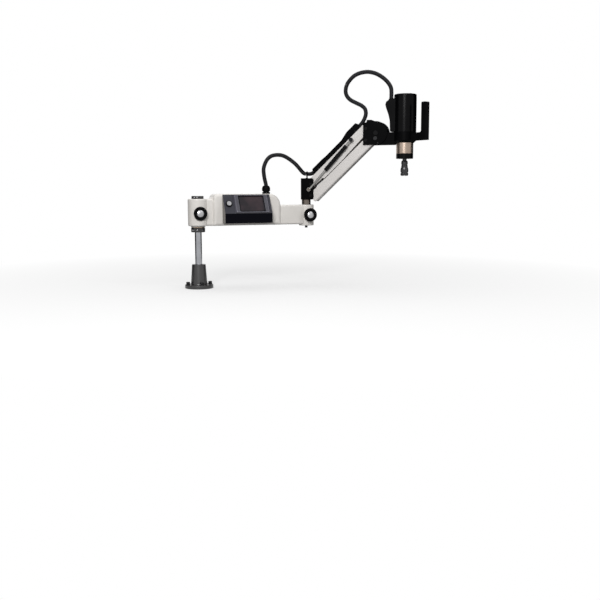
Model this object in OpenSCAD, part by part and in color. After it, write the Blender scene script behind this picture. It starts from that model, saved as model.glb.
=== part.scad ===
// Arm tapping machine. Two arms on a bench column carry an electric tapping
// head with a quick-change chuck. Millimetres, Z up. X runs along the first
// arm, the console faces -Y, and the origin is the middle of the base's foot.

/* [Base and column] */
// Diameter of the base flange
flange_d = 122; // [116:1:150]
// Thickness of the base flange
flange_t = 16; // [12:1:20]
// Diameter of the circle through the bench bolts
bolt_circle_d = 98; // [94:1:102]
// Diameter of the holes for the bench bolts
bolt_hole_d = 11; // [9:0.5:13]
// Diameter of the boss at its foot
boss_foot_d = 71; // [64:1:76]
// Diameter of the boss at its top
boss_top_d = 59; // [52:1:64]
// Height of the top of the boss
base_h = 103; // [90:1:112]
// Diameter of the column
column_d = 30; // [26:0.5:32]
// Diameter of the collar under the arm
lower_collar_d = 60; // [54:1:66]
// Height of the collar under the arm
lower_collar_h = 19.5; // [15:0.5:24]
// Diameter of the collar over the arm
upper_collar_d = 52; // [50:1:60]
// Height of the collar over the arm
upper_collar_h = 12; // [10:0.5:16]

/* [First arm] */
// Distance from the column to the elbow
arm_span = 500; // [480:1:540]
// Height of the underside of the arm
arm_z = 268.5; // [264:0.5:290]
// Width of the hollow body, front to back
body_w = 76; // [72:1:84]
// Height of the hollow body
body_h = 136; // [132:1:142]
// Distance from the column to the body's near end
body_x = 61; // [58:1:64]
// Length of the hollow body
body_len = 305; // [295:1:315]
// Thickness of the casting's walls
casting_wall = 12; // [9:0.5:14]
// Radius of the body's upper corner near the elbow
body_corner_r = 50; // [40:1:54]
// Width of the neck and the beam
beam_w = 52; // [46:1:56]
// Height of the beam
beam_h = 86.5; // [82:0.5:92]
// Diameter of the hub on the column
hub_d = 85; // [80:1:92]
// Height of the hub on the column
hub_h = 115.5; // [112:0.5:120]
// Diameter of the hub at the elbow
elbow_hub_d = 67; // [64:1:72]
// Diameter of the clamping knobs
knob_d = 58; // [50:1:64]
// Diameter of the knobs' silver inserts
insert_d = 31; // [24:1:36]
// Thickness of the body's rear cover
cover_t = 3; // [2:0.5:4]

/* [Console] */
// Distance from the column to the console's near side
console_x = 99; // [94:1:104]
// Width of the console
console_w = 211; // [204:1:216]
// Height of the console
console_h = 122; // [118:1:123]
// Height of the console's upright face
console_face_h = 42; // [36:1:48]
// Depth of the console at its foot
console_d = 47; // [40:1:54]
// Width of the raised frame round the screen
bezel_w = 160; // [150:1:168]
// Height that the frame stands above the panel
bezel_t = 9; // [6:0.5:12]
// Width of the screen
screen_w = 106; // [96:1:112]
// Height of the screen
screen_h = 71; // [62:1:74]
// Diameter of the power button
power_d = 21; // [17:0.5:22]

/* [Second arm] */
// Distance between the pins of each link
link_span = 342; // [325:1:360]
// Distance between the lower and the upper pins
pin_gap = 50; // [49.5:0.1:52]
// Diameter of the link pins
pin_d = 10; // [8:0.5:11]
// Width of the links over their walls
link_w = 51; // [50:0.5:51.5]
// Thickness of the links' walls
link_t = 4.9; // [3.5:0.1:4.9]
// Width of the yoke and the head bracket
yoke_w = 64; // [62:0.5:68]
// Height of the elbow yoke
yoke_h = 94; // [90:1:100]
// Diameter of the elbow shaft
shaft_d = 25; // [20:0.5:27]
// Width of the hose cover
hose_cover_w = 44; // [40:1:47]
// Thickness of the hose cover's sheet
hose_cover_t = 1.9; // [1.2:0.1:2.5]
// Diameter of the gas spring's cylinder
gas_d = 17; // [16:0.5:18]
// Length of the gas spring's cylinder
gas_len = 140; // [130:1:150]

/* [Head] */
// Distance from the tilt bolt to the motor's axis
motor_reach = 121.5; // [118:0.5:130]
// Diameter of the motor
motor_d = 96.4; // [90:0.2:98]
// Height of the motor above its bracket
motor_h = 159; // [150:1:170]
// Height of the ring that carries the motor
ring_h = 45; // [41:1:46]
// Diameter of the reducer
reducer_d = 73.2; // [68:0.2:76]
// Height of the reducer below the bracket
reducer_h = 46; // [40:1:52]
// Diameter of the chuck's sliding sleeve
sleeve_d = 33; // [32:0.5:38]
// Height of the chuck's sliding sleeve
sleeve_h = 35; // [33:1:38]
// Diameter of the socket that takes the tap holder
socket_d = 19; // [16:0.5:20]
// Distance from the motor's axis to the middle of the grip
grip_reach = 117; // [112:1:126]
// Height of the grip
grip_h = 155; // [148:1:170]
// Diameter of the two push buttons in the grip
grip_button_d = 13; // [10:0.5:15]

/* [Hidden] */
$fn = 64;

// Radial gap of a piece that turns or slides in another
run_gap = 0.05;
// Radial gap of a piece that is pressed or screwed into another
seat_gap = 0.02;
// Gap between faces that pass each other
face_gap = 0.3;
// Pose in the picture: turn of the second arm, and rise of its links
swing_a = 38;
link_a = 43.7;

// Column, from the bench up
column_foot_z = 3;
foot_h = 5;
washer_t = 1.8;
washer_top_z = arm_z - foot_h - 0.2;
lower_collar_z = washer_top_z - washer_t - lower_collar_h;
upper_collar_z = arm_z + hub_h + face_gap;
column_top_z = upper_collar_z + upper_collar_h + 0.2;
bush_d = column_d + 6;
bush_h = 30;
slit_w = 3;
slit_a = 250;
set_screw_at = [base_h - 43, base_h - 18];

// Body of the first arm
body_end_x = body_x + body_len;
body_top_z = arm_z + body_h;
body_left_r = 18;
shoulder_r = 20;
front_edge_r = 12;
back_edge_r = 5;
skin = 0.1;
cavity_z = arm_z + casting_wall;
rebate = 7;
screw_in = casting_wall + 2;
swing_knob_z = arm_z + 53.5;
elbow_knob_z = arm_z + 42;
knob_face_y = hub_d/2 + 0.5;
elbow_knob_face_y = elbow_hub_d/2 + 11;
swing_knob_t = 8.7;
knob_tip_gap = 1;
elbow_knob_t = 14;
elbow_low_z = arm_z - 6.5;
elbow_top_z = arm_z + beam_h + 0.4;
bearing_d = shaft_d + 27;
bearing_h = 15;
upper_bearing_z = elbow_top_z - bearing_h + face_gap;
gland_x = body_end_x - 56;
hose_d = 18;
hose_sides = 10;

// Console: its slope and the places on it
console_z = arm_z + 11.5;
console_top_y = 3;
console_wall = 3;
panel_t = 2;
slope_a = atan2(console_h - console_face_h, console_d - console_top_y);
slope_len = norm([console_h - console_face_h, console_d - console_top_y]);
bezel_x = console_x + console_w - bezel_w/2 - 9;
bezel_y = slope_len/2 - 3;
bezel_len = 88;
screen_t = 5;
power_x = console_x + 22;
power_y = slope_len/2;
power_travel = 2;
power_stem_d = 12;

// Second arm, along X before it is turned
shoulder_h = 22;
shoulder_d = 40;
yoke_z = elbow_top_z + 2*face_gap + shoulder_h;
yoke_back_x = -18;
yoke_block_x = 16;
yoke_front_x = 42;
cheek_t = 6;
cheek_y = yoke_w/2 - cheek_t;
pin_x = 31;
lower_pin = [pin_x, yoke_z + 18];
upper_pin = [pin_x, yoke_z + 18 + pin_gap];
link_dir = [cos(link_a), sin(link_a)];
head_lower_pin = lower_pin + link_span*link_dir;
head_upper_pin = upper_pin + link_span*link_dir;
link_ear_r = 14;
sleeve_r = pin_d/2 + 4;
lower_link_deep = 34;
lower_link_top = 9.4;
lower_link_end = 12;
lower_link_back = 7;
link_heel = 60;
link_relief = [168, link_span - 29];
link_relief_h = 7;
upper_link_deep = 23.8;
upper_link_top = 22.7;
lug_at = [70, link_span - 42];
hose_cover_end = link_span - 6;
clip_x = 4;
clip_a = 19;
hose_z = 491;

// Gas spring beside the links
gas_y = -yoke_w/2 - 6;
gas_low = [24, yoke_z + 44.5];
gas_high_on_link = [link_span - 77.5, 9.1];
gas_high = upper_pin + gas_high_on_link[0]*link_dir
         + gas_high_on_link[1]*[-link_dir[1], link_dir[0]];
gas_span = norm(gas_high - gas_low);
gas_a = atan2(gas_high[1] - gas_low[1], gas_high[0] - gas_low[0]);
gas_stud_d = 10;
gas_eye_d = 17;
gas_rod_d = 8;
gas_bore_d = 14;
gas_end_gap = 33;
gas_neck = 20;

// Head, from its lower link pin
tilt = head_lower_pin + [43.7, 30.7];
tilt_bolt_d = 12;
bracket_r = 50;
bracket_back = head_lower_pin[0] - 11.8;
bracket_low_z = tilt[1] - bracket_r;
tilt_hub_r = 21;
tilt_hub_w = 2*(cheek_y - 0.4);
motor_x = tilt[0] + motor_reach;
ring_top_z = tilt[1] + 2;
ring_low_z = ring_top_z - ring_h;
motor_top_z = ring_top_z + motor_h;
reducer_low_z = ring_low_z - reducer_h;
lower_ring_h = 21;
ring_bore_d = 60;
bolt_head_r = 36;
bolt_len = 38;
nose_z = reducer_low_z - lower_ring_h;
neck_h = 8;
neck_d = 18;
chuck_d = 28;
chuck_top_z = nose_z - neck_h;
sleeve_top_z = chuck_top_z - 30;
sleeve_low_z = sleeve_top_z - sleeve_h;
socket_deep = 28;
socket_wall = 3;
notch_a = 107;
grip_a = -35;
grip_t = 26;
grip_w = 22;
grip_foot_z = ring_top_z - 36;
grip_button_out = 4.5;
grip_button_travel = 1.5;
forward_z = grip_foot_z + 123;
reverse_z = grip_foot_z + 97.6;
box_y = -8;
box_w = 44;
box_x = motor_x - motor_d/2 - 11.3;
box_root = 18.5;
box_hose_y = -18;
box_hose_x = motor_x - motor_d/2 - hose_d/2 - 0.3;
box_top_z = motor_top_z - 18;

// Middle lines of the hose, in its free stretches
hose_lower_way = [
    [310, 0, 432], [309.8, 0, 442], [306.5, 0, 457], [302.5, 0, 475], [299, 0, 507.6], [304.8, 0, 532.4], [317.9, 0, 555],
    [336.6, 0, 569], [366.5, 0, 574], [393.2, 0, 569.7], [420, 0, 556], [447.5, 0, 536],
    [469, 1, 514.5], [480, 3, 503], [490.5, 3, 494.2], [499.7, 0.1, 491]
];
hose_middle_way = [
    [0, 0, 491], [8, 2.7, 491], [18, 4.5, 491.2], [28, 3.5, 494], [37.5, 1.5, 499.5], [47, 0.5, 506.5],
    [60, 0, 517.9], [110, 0, 565.7], [160, 0, 613.5], [205, 0, 656.5], [228, 0, 679], [246, 0, 699]
];
hose_upper_way = [
    [246, 0, 699], [258, 0, 713], [267, -1, 730], [272, -2, 748], [268, -4, 768], [252, -5, 783],
    [228, -6, 795], [204, -6, 808], [188, -6, 825], [182, -6, 846], [187, -7, 871], [201, -7, 892],
    [222, -8, 910], [248, -9, 920], [279, -10, 923], [309, -11, 917], [334, -12, 905], [358, -14, 887],
    [375, -15, 868], [384, -16, 850], [386, -17, 833], [386, -18, 818], [386, -18, 806]
];

// ---- Shared shapes ----

function unit(v) = v / norm(v);

// Draws its children over y0 to y1, from an outline in X and Z
module across(y0, y1) {
    translate([0, y1, 0]) rotate([90, 0, 0]) linear_extrude(y1 - y0) children();
}

// Draws its children over x0 to x1, from an outline in Y and Z
module along(x0, x1) {
    translate([x0, 0, 0]) rotate([90, 0, 90]) linear_extrude(x1 - x0) children();
}

// Round bar from y0 to y1
module bar_y(d, y0, y1) {
    translate([0, y1, 0]) rotate([90, 0, 0]) cylinder(d = d, h = y1 - y0);
}

// Rectangle with round corners
module round_rect(x0, x1, y0, y1, r) {
    translate([x0 + r, y0]) square([x1 - x0 - 2*r, y1 - y0]);
    translate([x0, y0 + r]) square([x1 - x0, y1 - y0 - 2*r]);
    for (x = [x0 + r, x1 - r], y = [y0 + r, y1 - r]) translate([x, y]) circle(r, $fn = 32);
}

// Drum with round rims
module drum(d, h, r) {
    rotate_extrude() {
        square([d/2 - r, h]);
        translate([0, r]) square([d/2, h - 2*r]);
        for (z = [r, h - r]) translate([d/2 - r, z]) circle(r, $fn = 32);
    }
}

// Ring with small bevels on its outer rims
module ring(d, bore, h, bevel) {
    rotate_extrude() polygon([
        [bore/2, 0], [d/2 - bevel, 0], [d/2, bevel], [d/2, h - bevel], [d/2 - bevel, h], [bore/2, h]
    ]);
}

// Socket-head screw whose head stands on z = 0, with its shank below
module cap_screw(d, len) {
    difference() {
        union() {
            translate([0, 0, -len]) cylinder(d = d, h = len);
            ring(1.6*d, 0, d, d/8);
        }
        translate([0, 0, d/2]) cylinder(d = 0.9*d, h = d, $fn = 6);
    }
}

// Pan-head screw, the same way
module pan_screw(d, len) {
    translate([0, 0, -len]) cylinder(d = d, h = len);
    difference() {
        rotate_extrude() polygon([[0, 0], [d, 0], [d, 0.2*d], [0.75*d, 0.55*d], [0, 0.6*d]]);
        translate([0, 0, 0.3*d]) cylinder(d = 0.7*d, h = d, $fn = 6);
    }
}

// Puts children on the first arm's elbow, turned with the second arm
module on_second_arm() {
    translate([arm_span, 0, 0]) rotate([0, 0, -swing_a]) children();
}

// Puts children on a link, from the pin at its yoke end
module on_link(pin) {
    on_second_arm() translate([pin[0], 0, pin[1]]) rotate([0, -link_a, 0]) children();
}

// Puts children at a point of the second arm's plane
module at_point(p) {
    on_second_arm() translate([p[0], 0, p[1]]) children();
}

// Puts children on the motor's axis, at z = 0
module on_motor_axis() {
    on_second_arm() translate([motor_x, 0, 0]) children();
}

// Tube swept along a way, with given directions at both ends
module hose(way, start, end, side) {
    last = len(way) - 1;
    heading = [for (i = [0:last])
        i == 0 ? unit(start) : i == last ? unit(end) : unit(way[i + 1] - way[i - 1])];
    points = [for (i = [0:last])
        let (b = unit(side - (side*heading[i])*heading[i]), c = cross(heading[i], b))
        for (k = [0:hose_sides - 1])
            way[i] + hose_d/2*(cos(360*k/hose_sides)*b + sin(360*k/hose_sides)*c)];
    walls = [for (i = [0:last - 1], k = [0:hose_sides - 1])
        let (m = (k + 1) % hose_sides, p = i*hose_sides, q = p + hose_sides)
        each [[p + k, q + k, q + m], [p + k, q + m, p + m]]];
    caps = [for (k = [1:hose_sides - 2])
        each [[0, k, k + 1], [last*hose_sides, last*hose_sides + k + 1, last*hose_sides + k]]];
    polyhedron(points, concat(walls, caps), convexity = 8);
}

// ---- Stand ----

module base_flange() {
    color([0.22, 0.22, 0.23]) difference() {
        rotate_extrude() polygon([
            [0, 0], [flange_d/2 - 1.5, 0], [flange_d/2, 1.5], [flange_d/2, flange_t - 2],
            [flange_d/2 - 2, flange_t], [boss_foot_d/2 + 3, flange_t], [boss_foot_d/2 + 0.8, flange_t + 0.8],
            [boss_foot_d/2, flange_t + 3], [boss_top_d/2, base_h - 1.5], [boss_top_d/2 - 1.5, base_h],
            [0, base_h]
        ]);
        translate([0, 0, column_foot_z]) cylinder(d = column_d + 2*seat_gap, h = base_h);
        for (a = [0:90:270]) rotate(a) translate([bolt_circle_d/2, 0, -1])
            cylinder(d = bolt_hole_d, h = flange_t + 2);
        for (z = set_screw_at) translate([0, 0, z]) bar_y(8 + 2*seat_gap, 0, boss_foot_d/2 + 3);
    }
}

module column() {
    color([0.78, 0.79, 0.80]) translate([0, 0, column_foot_z])
        ring(column_d, 0, column_top_z - column_foot_z, 1);
}

module column_set_screws() {
    color([0.12, 0.12, 0.13]) for (z = set_screw_at) translate([0, column_d/2, z]) rotate([-90, 0, 0])
        difference() {
            cylinder(d = 8, h = 11);
            translate([0, 0, 7]) cylinder(d = 4.5, h = 5, $fn = 6);
        }
}

// ---- Carriage ----

// Split collar on the column, with a hole for its clamping screw
module split_collar(d, h, screw_d) {
    screw_x = (d + column_d)/4;
    difference() {
        ring(d, column_d + 2*run_gap, h, 1.2);
        rotate(slit_a) translate([0, -slit_w/2, -1]) cube([d, slit_w, h + 2]);
        rotate(slit_a) translate([screw_x, 0, h/2]) bar_y(screw_d + 0.3, -d/2, d/2);
        rotate(slit_a) translate([screw_x, 0, h/2]) bar_y(1.6*screw_d + 0.6, -d/2, -slit_w/2 - 6);
    }
}

module lower_collar() {
    color([0.15, 0.15, 0.16]) translate([0, 0, lower_collar_z])
        split_collar(lower_collar_d, lower_collar_h, 6);
}

module upper_collar() {
    color([0.15, 0.15, 0.16]) translate([0, 0, upper_collar_z])
        split_collar(upper_collar_d, upper_collar_h, 4);
}

// Clamping screw of a split collar, drawn where the collar takes it
module collar_screw(d, h, screw_d) {
    rotate(slit_a) translate([(d + column_d)/4, -slit_w/2 - 6, h/2]) rotate([90, 0, 0])
        cap_screw(screw_d, slit_w + 10);
}

module collar_screws() {
    color([0.55, 0.55, 0.56]) {
        translate([0, 0, lower_collar_z]) collar_screw(lower_collar_d, lower_collar_h, 6);
        translate([0, 0, upper_collar_z]) collar_screw(upper_collar_d, upper_collar_h, 4);
    }
}

module thrust_washer() {
    color([0.72, 0.62, 0.38]) translate([0, 0, washer_top_z - washer_t])
        ring(lower_collar_d - 5, column_d + 0.6, washer_t, 0.3);
}

// ---- First arm ----

// Outline of the hollow body from the front, drawn in by an inset
module body_outline(inset) {
    x0 = body_x + inset;
    x1 = body_end_x - inset;
    z0 = arm_z + inset;
    z1 = body_top_z - inset;
    r0 = max(body_left_r - inset, 1);
    r1 = body_corner_r - inset;
    translate([x0, z0]) square([x1 - x0, z1 - r1 - z0]);
    translate([x0, z0]) square([x1 - r1 - x0, z1 - r0 - z0]);
    translate([x0 + r0, z0]) square([x1 - r1 - x0 - r0, z1 - z0]);
    translate([x0 + r0, z1 - r0]) circle(r0, $fn = 32);
    translate([x1 - r1, z1 - r1]) circle(r1, $fn = 72);
}

// Hollow curve that rises from the hub's top into the body's left corner
module shoulder_outline() {
    hub_top = arm_z + hub_h;
    corner = [body_x + body_left_r, body_top_z - body_left_r];
    low = hub_top + shoulder_r - corner[1];
    run = sqrt(pow(shoulder_r + body_left_r, 2) - pow(low, 2));
    foot = [corner[0] - run, hub_top + shoulder_r];
    lean = atan2(-low, run);
    polygon(concat(
        [for (i = [0:8]) foot + shoulder_r*[cos(-90 + i*(lean + 90)/8), sin(-90 + i*(lean + 90)/8)]],
        [corner, [corner[0], hub_top - 1], [foot[0], hub_top - 1]]
    ));
}

// Thin slice of the body whose outer face lies at y
module body_slice(y, inset) {
    across(y > 0 ? y - skin : y, y > 0 ? y : y + skin) body_outline(inset);
}

// Body with a soft edge round its front face and a smaller one at the back
module body_solid() {
    hull() for (a = [0:30:90]) {
        body_slice(-body_w/2 + front_edge_r*(1 - sin(a)), front_edge_r*(1 - cos(a)));
        body_slice(body_w/2 - back_edge_r*(1 - sin(a)), back_edge_r*(1 - cos(a)));
    }
}

// Places of the rear cover's screws, in X and Z
cover_screw_at = concat(
    [for (x = [body_x + screw_in, (body_x + body_end_x)/2, body_end_x - screw_in]) [x, arm_z + screw_in]],
    [for (x = [body_x + screw_in + 2, (body_x + body_end_x)/2]) [x, body_top_z - screw_in - 1]],
    [[body_end_x - body_corner_r + (body_corner_r - screw_in)*cos(45),
      body_top_z - body_corner_r + (body_corner_r - screw_in)*sin(45)]]
);

// Places of the posts that hold the control board
board_post_at = [for (x = [body_x + 44, body_x + 230], z = [arm_z + 50, arm_z + 110]) [x, z]];
board_y = -body_w/2 + casting_wall + 6;

module arm_casting() {
    front_y = -body_w/2;
    cavity_y = front_y + casting_wall;
    color([0.90, 0.89, 0.87]) difference() {
        union() {
            translate([0, 0, arm_z]) drum(hub_d, hub_h, 5);
            translate([0, 0, arm_z - foot_h]) cylinder(d = bush_d + 26, h = foot_h + 5);
            along(0, body_x + 4) round_rect(-beam_w/2, beam_w/2, arm_z, arm_z + hub_h, 8);
            across(5 - beam_w/2, beam_w/2 - 5) shoulder_outline();
            difference() {
                body_solid();
                across(cavity_y, body_w/2 + 1) body_outline(casting_wall);
            }
            across(front_y, cavity_y)
                round_rect(console_x, console_x + console_w, console_z, console_z + console_h, 2);
            along(body_end_x - 8, arm_span) round_rect(-beam_w/2, beam_w/2, arm_z, arm_z + beam_h, 8);
            translate([arm_span, 0, elbow_low_z]) drum(elbow_hub_d, elbow_top_z - elbow_low_z, 4);
            translate([0, 0, swing_knob_z]) bar_y(40, -knob_face_y, -hub_d/4);
            translate([arm_span, 0, elbow_knob_z]) bar_y(30, -elbow_knob_face_y, -elbow_hub_d/4);
            for (p = cover_screw_at) translate([p[0], 0, p[1]]) bar_y(12, 2, body_w/2 - cover_t);
            for (p = board_post_at) translate([p[0], 0, p[1]]) bar_y(8, cavity_y - 1, board_y);
        }
        translate([0, 0, arm_z - foot_h - 1]) cylinder(d = bush_d + 2*seat_gap, h = hub_h + foot_h + 2);
        across(body_w/2 - cover_t, body_w/2 + 1) body_outline(rebate);
        for (p = cover_screw_at) translate([p[0], 0, p[1]]) bar_y(4.1, 14, body_w/2);
        for (p = board_post_at) translate([p[0], 0, p[1]]) bar_y(3.1, cavity_y, board_y + 1);
        across(front_y - 1, cavity_y + 1) round_rect(body_x + 95, body_x + 145, arm_z + 66, arm_z + 90, 4);
        translate([gland_x, 0, cavity_z]) cylinder(d = hose_d + 3, h = body_h);
        translate([0, 0, swing_knob_z]) bar_y(pin_d + 2*run_gap, -hub_d, -column_d/2);
        translate([arm_span, 0, elbow_knob_z]) bar_y(pin_d + 2*run_gap, -elbow_hub_d, 0);
        translate([arm_span, 0, elbow_low_z - 1]) cylinder(d = shaft_d + 3, h = elbow_top_z - elbow_low_z + 2);
        translate([arm_span, 0, elbow_low_z - 1]) cylinder(d = bearing_d + 2*seat_gap, h = bearing_h + 5);
        translate([arm_span, 0, upper_bearing_z]) cylinder(d = bearing_d + 2*seat_gap, h = bearing_h + 1);
    }
}

module rear_cover() {
    color([0.90, 0.89, 0.87]) difference() {
        across(body_w/2 - cover_t, body_w/2) body_outline(rebate + 0.2);
        for (p = cover_screw_at) translate([p[0], 0, p[1]]) bar_y(4.4, 0, body_w);
    }
}

module rear_cover_screws() {
    color([0.6, 0.6, 0.61]) for (p = cover_screw_at)
        translate([p[0], body_w/2, p[1]]) rotate([-90, 0, 0]) pan_screw(4, 18);
}

module column_bushes() {
    color([0.72, 0.56, 0.28]) for (z = [arm_z - foot_h, arm_z + hub_h - bush_h])
        translate([0, 0, z]) difference() {
            cylinder(d = bush_d, h = bush_h);
            translate([0, 0, -1]) cylinder(d = column_d + 2*run_gap, h = bush_h + 2);
        }
}

module elbow_bearings() {
    color([0.75, 0.76, 0.78]) for (z = [elbow_low_z + 4, upper_bearing_z])
        translate([arm_span, 0, z]) difference() {
            ring(bearing_d, shaft_d + 2*run_gap, bearing_h, 0.8);
            for (side = [-0.1, bearing_h - 0.6]) translate([0, 0, side])
                ring(bearing_d - 9, shaft_d + 8, 0.7, 0.1);
        }
}

// Outline of the console from its side, in Y and Z, with its front drawn in
module console_outline(inset) {
    low = -body_w/2 - console_d + inset;
    knee = console_z + console_face_h - inset*tan((90 - slope_a)/2);
    top = -body_w/2 - console_top_y + inset/sin(slope_a);
    polygon([
        [-body_w/2, console_z], [low, console_z], [low, knee],
        [min(top, -body_w/2 - 0.5), console_z + console_h], [-body_w/2, console_z + console_h]
    ]);
}

// Puts children on the console's sloping face, with Y up the slope
module on_slope() {
    translate([0, -body_w/2 - console_d, console_z + console_face_h]) rotate([slope_a, 0, 0]) children();
}

module power_hole() {
    on_slope() translate([power_x, power_y, -20]) cylinder(d = power_stem_d + 1, h = 21);
}

module console_housing() {
    color([0.47, 0.45, 0.43]) difference() {
        along(console_x, console_x + console_w) console_outline(panel_t);
        intersection() {
            along(console_x + console_wall, console_x + console_w - console_wall)
                console_outline(panel_t + console_wall);
            translate([0, -body_w, console_z + console_wall])
                cube([body_end_x, body_w, console_h - 4*console_wall]);
        }
        power_hole();
    }
}

module console_panel() {
    color([0.13, 0.13, 0.15]) difference() {
        along(console_x, console_x + console_w) difference() {
            console_outline(0);
            console_outline(panel_t);
            translate([-body_w/2 - 2.5, 0]) square([3, 2*body_top_z]);
        }
        power_hole();
    }
}

// Frame with sloping sides round the screen
module screen_bezel() {
    color([0.17, 0.17, 0.19]) on_slope() difference() {
        hull() {
            translate([bezel_x - bezel_w/2, bezel_y - bezel_len/2, 0]) cube([bezel_w, bezel_len, 1.5]);
            translate([bezel_x - bezel_w/2 + 6, bezel_y - bezel_len/2 + 2, 0])
                cube([bezel_w - 12, bezel_len - 5, bezel_t]);
        }
        translate([bezel_x - screen_w/2 - 0.2, bezel_y - screen_h/2 - 0.2, -1])
            cube([screen_w + 0.4, screen_h + 0.4, bezel_t + 2]);
    }
}

module screen() {
    color([0.06, 0.06, 0.08]) on_slope()
        translate([bezel_x - screen_w/2, bezel_y - screen_h/2, 0]) cube([screen_w, screen_h, screen_t]);
}

module button_collar() {
    color([0.08, 0.08, 0.09]) on_slope() translate([power_x, power_y, 0])
        ring(power_d + 8, power_d + 1, 5, 1.2);
}

module power_button() {
    color([0.80, 0.80, 0.81]) on_slope() translate([power_x, power_y, 0]) {
        translate([0, 0, power_travel + face_gap]) ring(power_d, 0, 5.5, 1);
        translate([0, 0, -9]) cylinder(d = power_stem_d, h = 12);
    }
}

module control_board() {
    board_x = body_x + 38;
    board_z = arm_z + 44;
    part_y = board_y + 1.6;
    color([0.10, 0.32, 0.18]) {
        difference() {
            translate([board_x, board_y, board_z]) cube([198, 1.6, 72]);
            for (p = board_post_at) translate([p[0], 0, p[1]]) bar_y(3.1, board_y - 1, board_y + 3);
        }
        for (x = [board_x + 20, board_x + 76]) translate([x, part_y, board_z + 26]) cube([40, 3, 30]);
        for (x = [0:3]) translate([board_x + 140 + 13*x, 0, board_z + 20]) bar_y(10, part_y, part_y + 12);
        translate([board_x + 20, part_y, board_z + 6]) cube([96, 8, 9]);
    }
}

module power_supply() {
    color([0.70, 0.71, 0.72]) difference() {
        translate([body_x + 34, -4, cavity_z]) cube([100, 36, 42]);
        for (x = [0:7]) translate([body_x + 44 + 11*x, -5, cavity_z + 10]) cube([4, 3, 22]);
    }
}

module hose_gland() {
    base_z = body_top_z;
    color([0.09, 0.09, 0.10]) translate([gland_x, 0, 0]) difference() {
        union() {
            translate([0, 0, base_z]) ring(35, 0, 7, 1);
            translate([0, 0, base_z + 7]) cylinder(d = 28, h = 4);
            translate([0, 0, base_z + 11]) cylinder(d = 24, h = 16.5);
            translate([0, 0, base_z - casting_wall - 6]) cylinder(d = hose_d + 2.6, h = casting_wall + 6);
        }
        translate([0, 0, base_z - casting_wall - 7]) cylinder(d = 15, h = casting_wall + 40);
    }
}

module gland_nut() {
    color([0.09, 0.09, 0.10]) translate([gland_x, 0, body_top_z + 11.2]) difference() {
        rotate_extrude() polygon([
            [12.3, 0], [16.6, 0], [18, 1.4], [18, 12], [17.2, 16], [15.4, 20], [12.6, 23], [9.8, 24.3],
            [9.8, 16.6], [12.3, 16.6]
        ]);
        for (a = [0:60:300]) rotate(a) translate([18, 0, -1]) cylinder(d = 2.6, h = 11);
    }
}

module hose_lower() {
    color([0.07, 0.07, 0.08]) hose(hose_lower_way, [0, 0, 1], [cos(clip_a), -sin(clip_a), 0],
        [-sin(clip_a), -cos(clip_a), 0]);
}

// Clamping knob whose foot stands on z = 0, with a recess for its insert
module knob(t, shank) {
    rotate_extrude() polygon([
        [0, 0], [knob_d/2 - 2, 0], [knob_d/2, 2], [knob_d/2, t - 2.5], [knob_d/2 - 2.5, t],
        [insert_d/2 + 1.5, t], [insert_d/2 + 0.3, t - 1], [insert_d/2 + 0.3, t - 4], [0, t - 4]
    ]);
    translate([0, 0, -shank]) cylinder(d = pin_d, h = shank);
}

// Domed silver disc in a knob's recess
module knob_insert(t) {
    dome_r = insert_d;
    translate([0, 0, t - 4]) rotate_extrude() intersection() {
        translate([0, 5.5 - dome_r]) circle(dome_r);
        square([insert_d/2, 6]);
    }
}

// Puts children on the front of the first arm, with Z towards the user
module on_front(x, y, z) {
    translate([x, -y, z]) rotate([90, 0, 0]) children();
}

module swing_knob() {
    color([0.06, 0.06, 0.07]) on_front(0, knob_face_y + face_gap, swing_knob_z)
        knob(swing_knob_t, knob_face_y - column_d/2 - knob_tip_gap);
}

module swing_knob_insert() {
    color([0.75, 0.75, 0.76]) on_front(0, knob_face_y + face_gap, swing_knob_z) knob_insert(swing_knob_t);
}

module elbow_knob() {
    color([0.06, 0.06, 0.07]) on_front(arm_span, elbow_knob_face_y + face_gap, elbow_knob_z)
        knob(elbow_knob_t, elbow_knob_face_y - shaft_d/2 - knob_tip_gap);
}

module elbow_knob_insert() {
    color([0.75, 0.75, 0.76]) on_front(arm_span, elbow_knob_face_y + face_gap, elbow_knob_z)
        knob_insert(elbow_knob_t);
}

// ---- Second arm ----

module elbow_yoke() {
    top_z = yoke_z + yoke_h;
    color([0.07, 0.07, 0.08]) on_second_arm() difference() {
        union() {
            translate([0, 0, yoke_z]) linear_extrude(yoke_h) {
                round_rect(yoke_back_x, yoke_block_x, -yoke_w/2, yoke_w/2, 10);
                translate([0, -yoke_w/2]) square([yoke_block_x, yoke_w]);
            }
            for (y = [-yoke_w/2, cheek_y]) across(y, y + cheek_t) {
                round_rect(0, yoke_front_x, yoke_z, top_z, 8);
                translate([0, yoke_z]) square([yoke_block_x, yoke_h]);
            }
        }
        translate([0, 0, yoke_z - 1]) cylinder(d = shaft_d + 2*seat_gap, h = yoke_h - 11);
        translate([1, 0, top_z - 10]) cylinder(d = 6 + 2*seat_gap, h = 11);
        for (p = [lower_pin, upper_pin]) translate([p[0], 0, p[1]])
            bar_y(pin_d + 2*seat_gap, -yoke_w, yoke_w);
        translate([gas_low[0], 0, gas_low[1]]) bar_y(gas_stud_d - 2 + 2*seat_gap, -yoke_w, -cheek_y + 1);
    }
}

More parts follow.
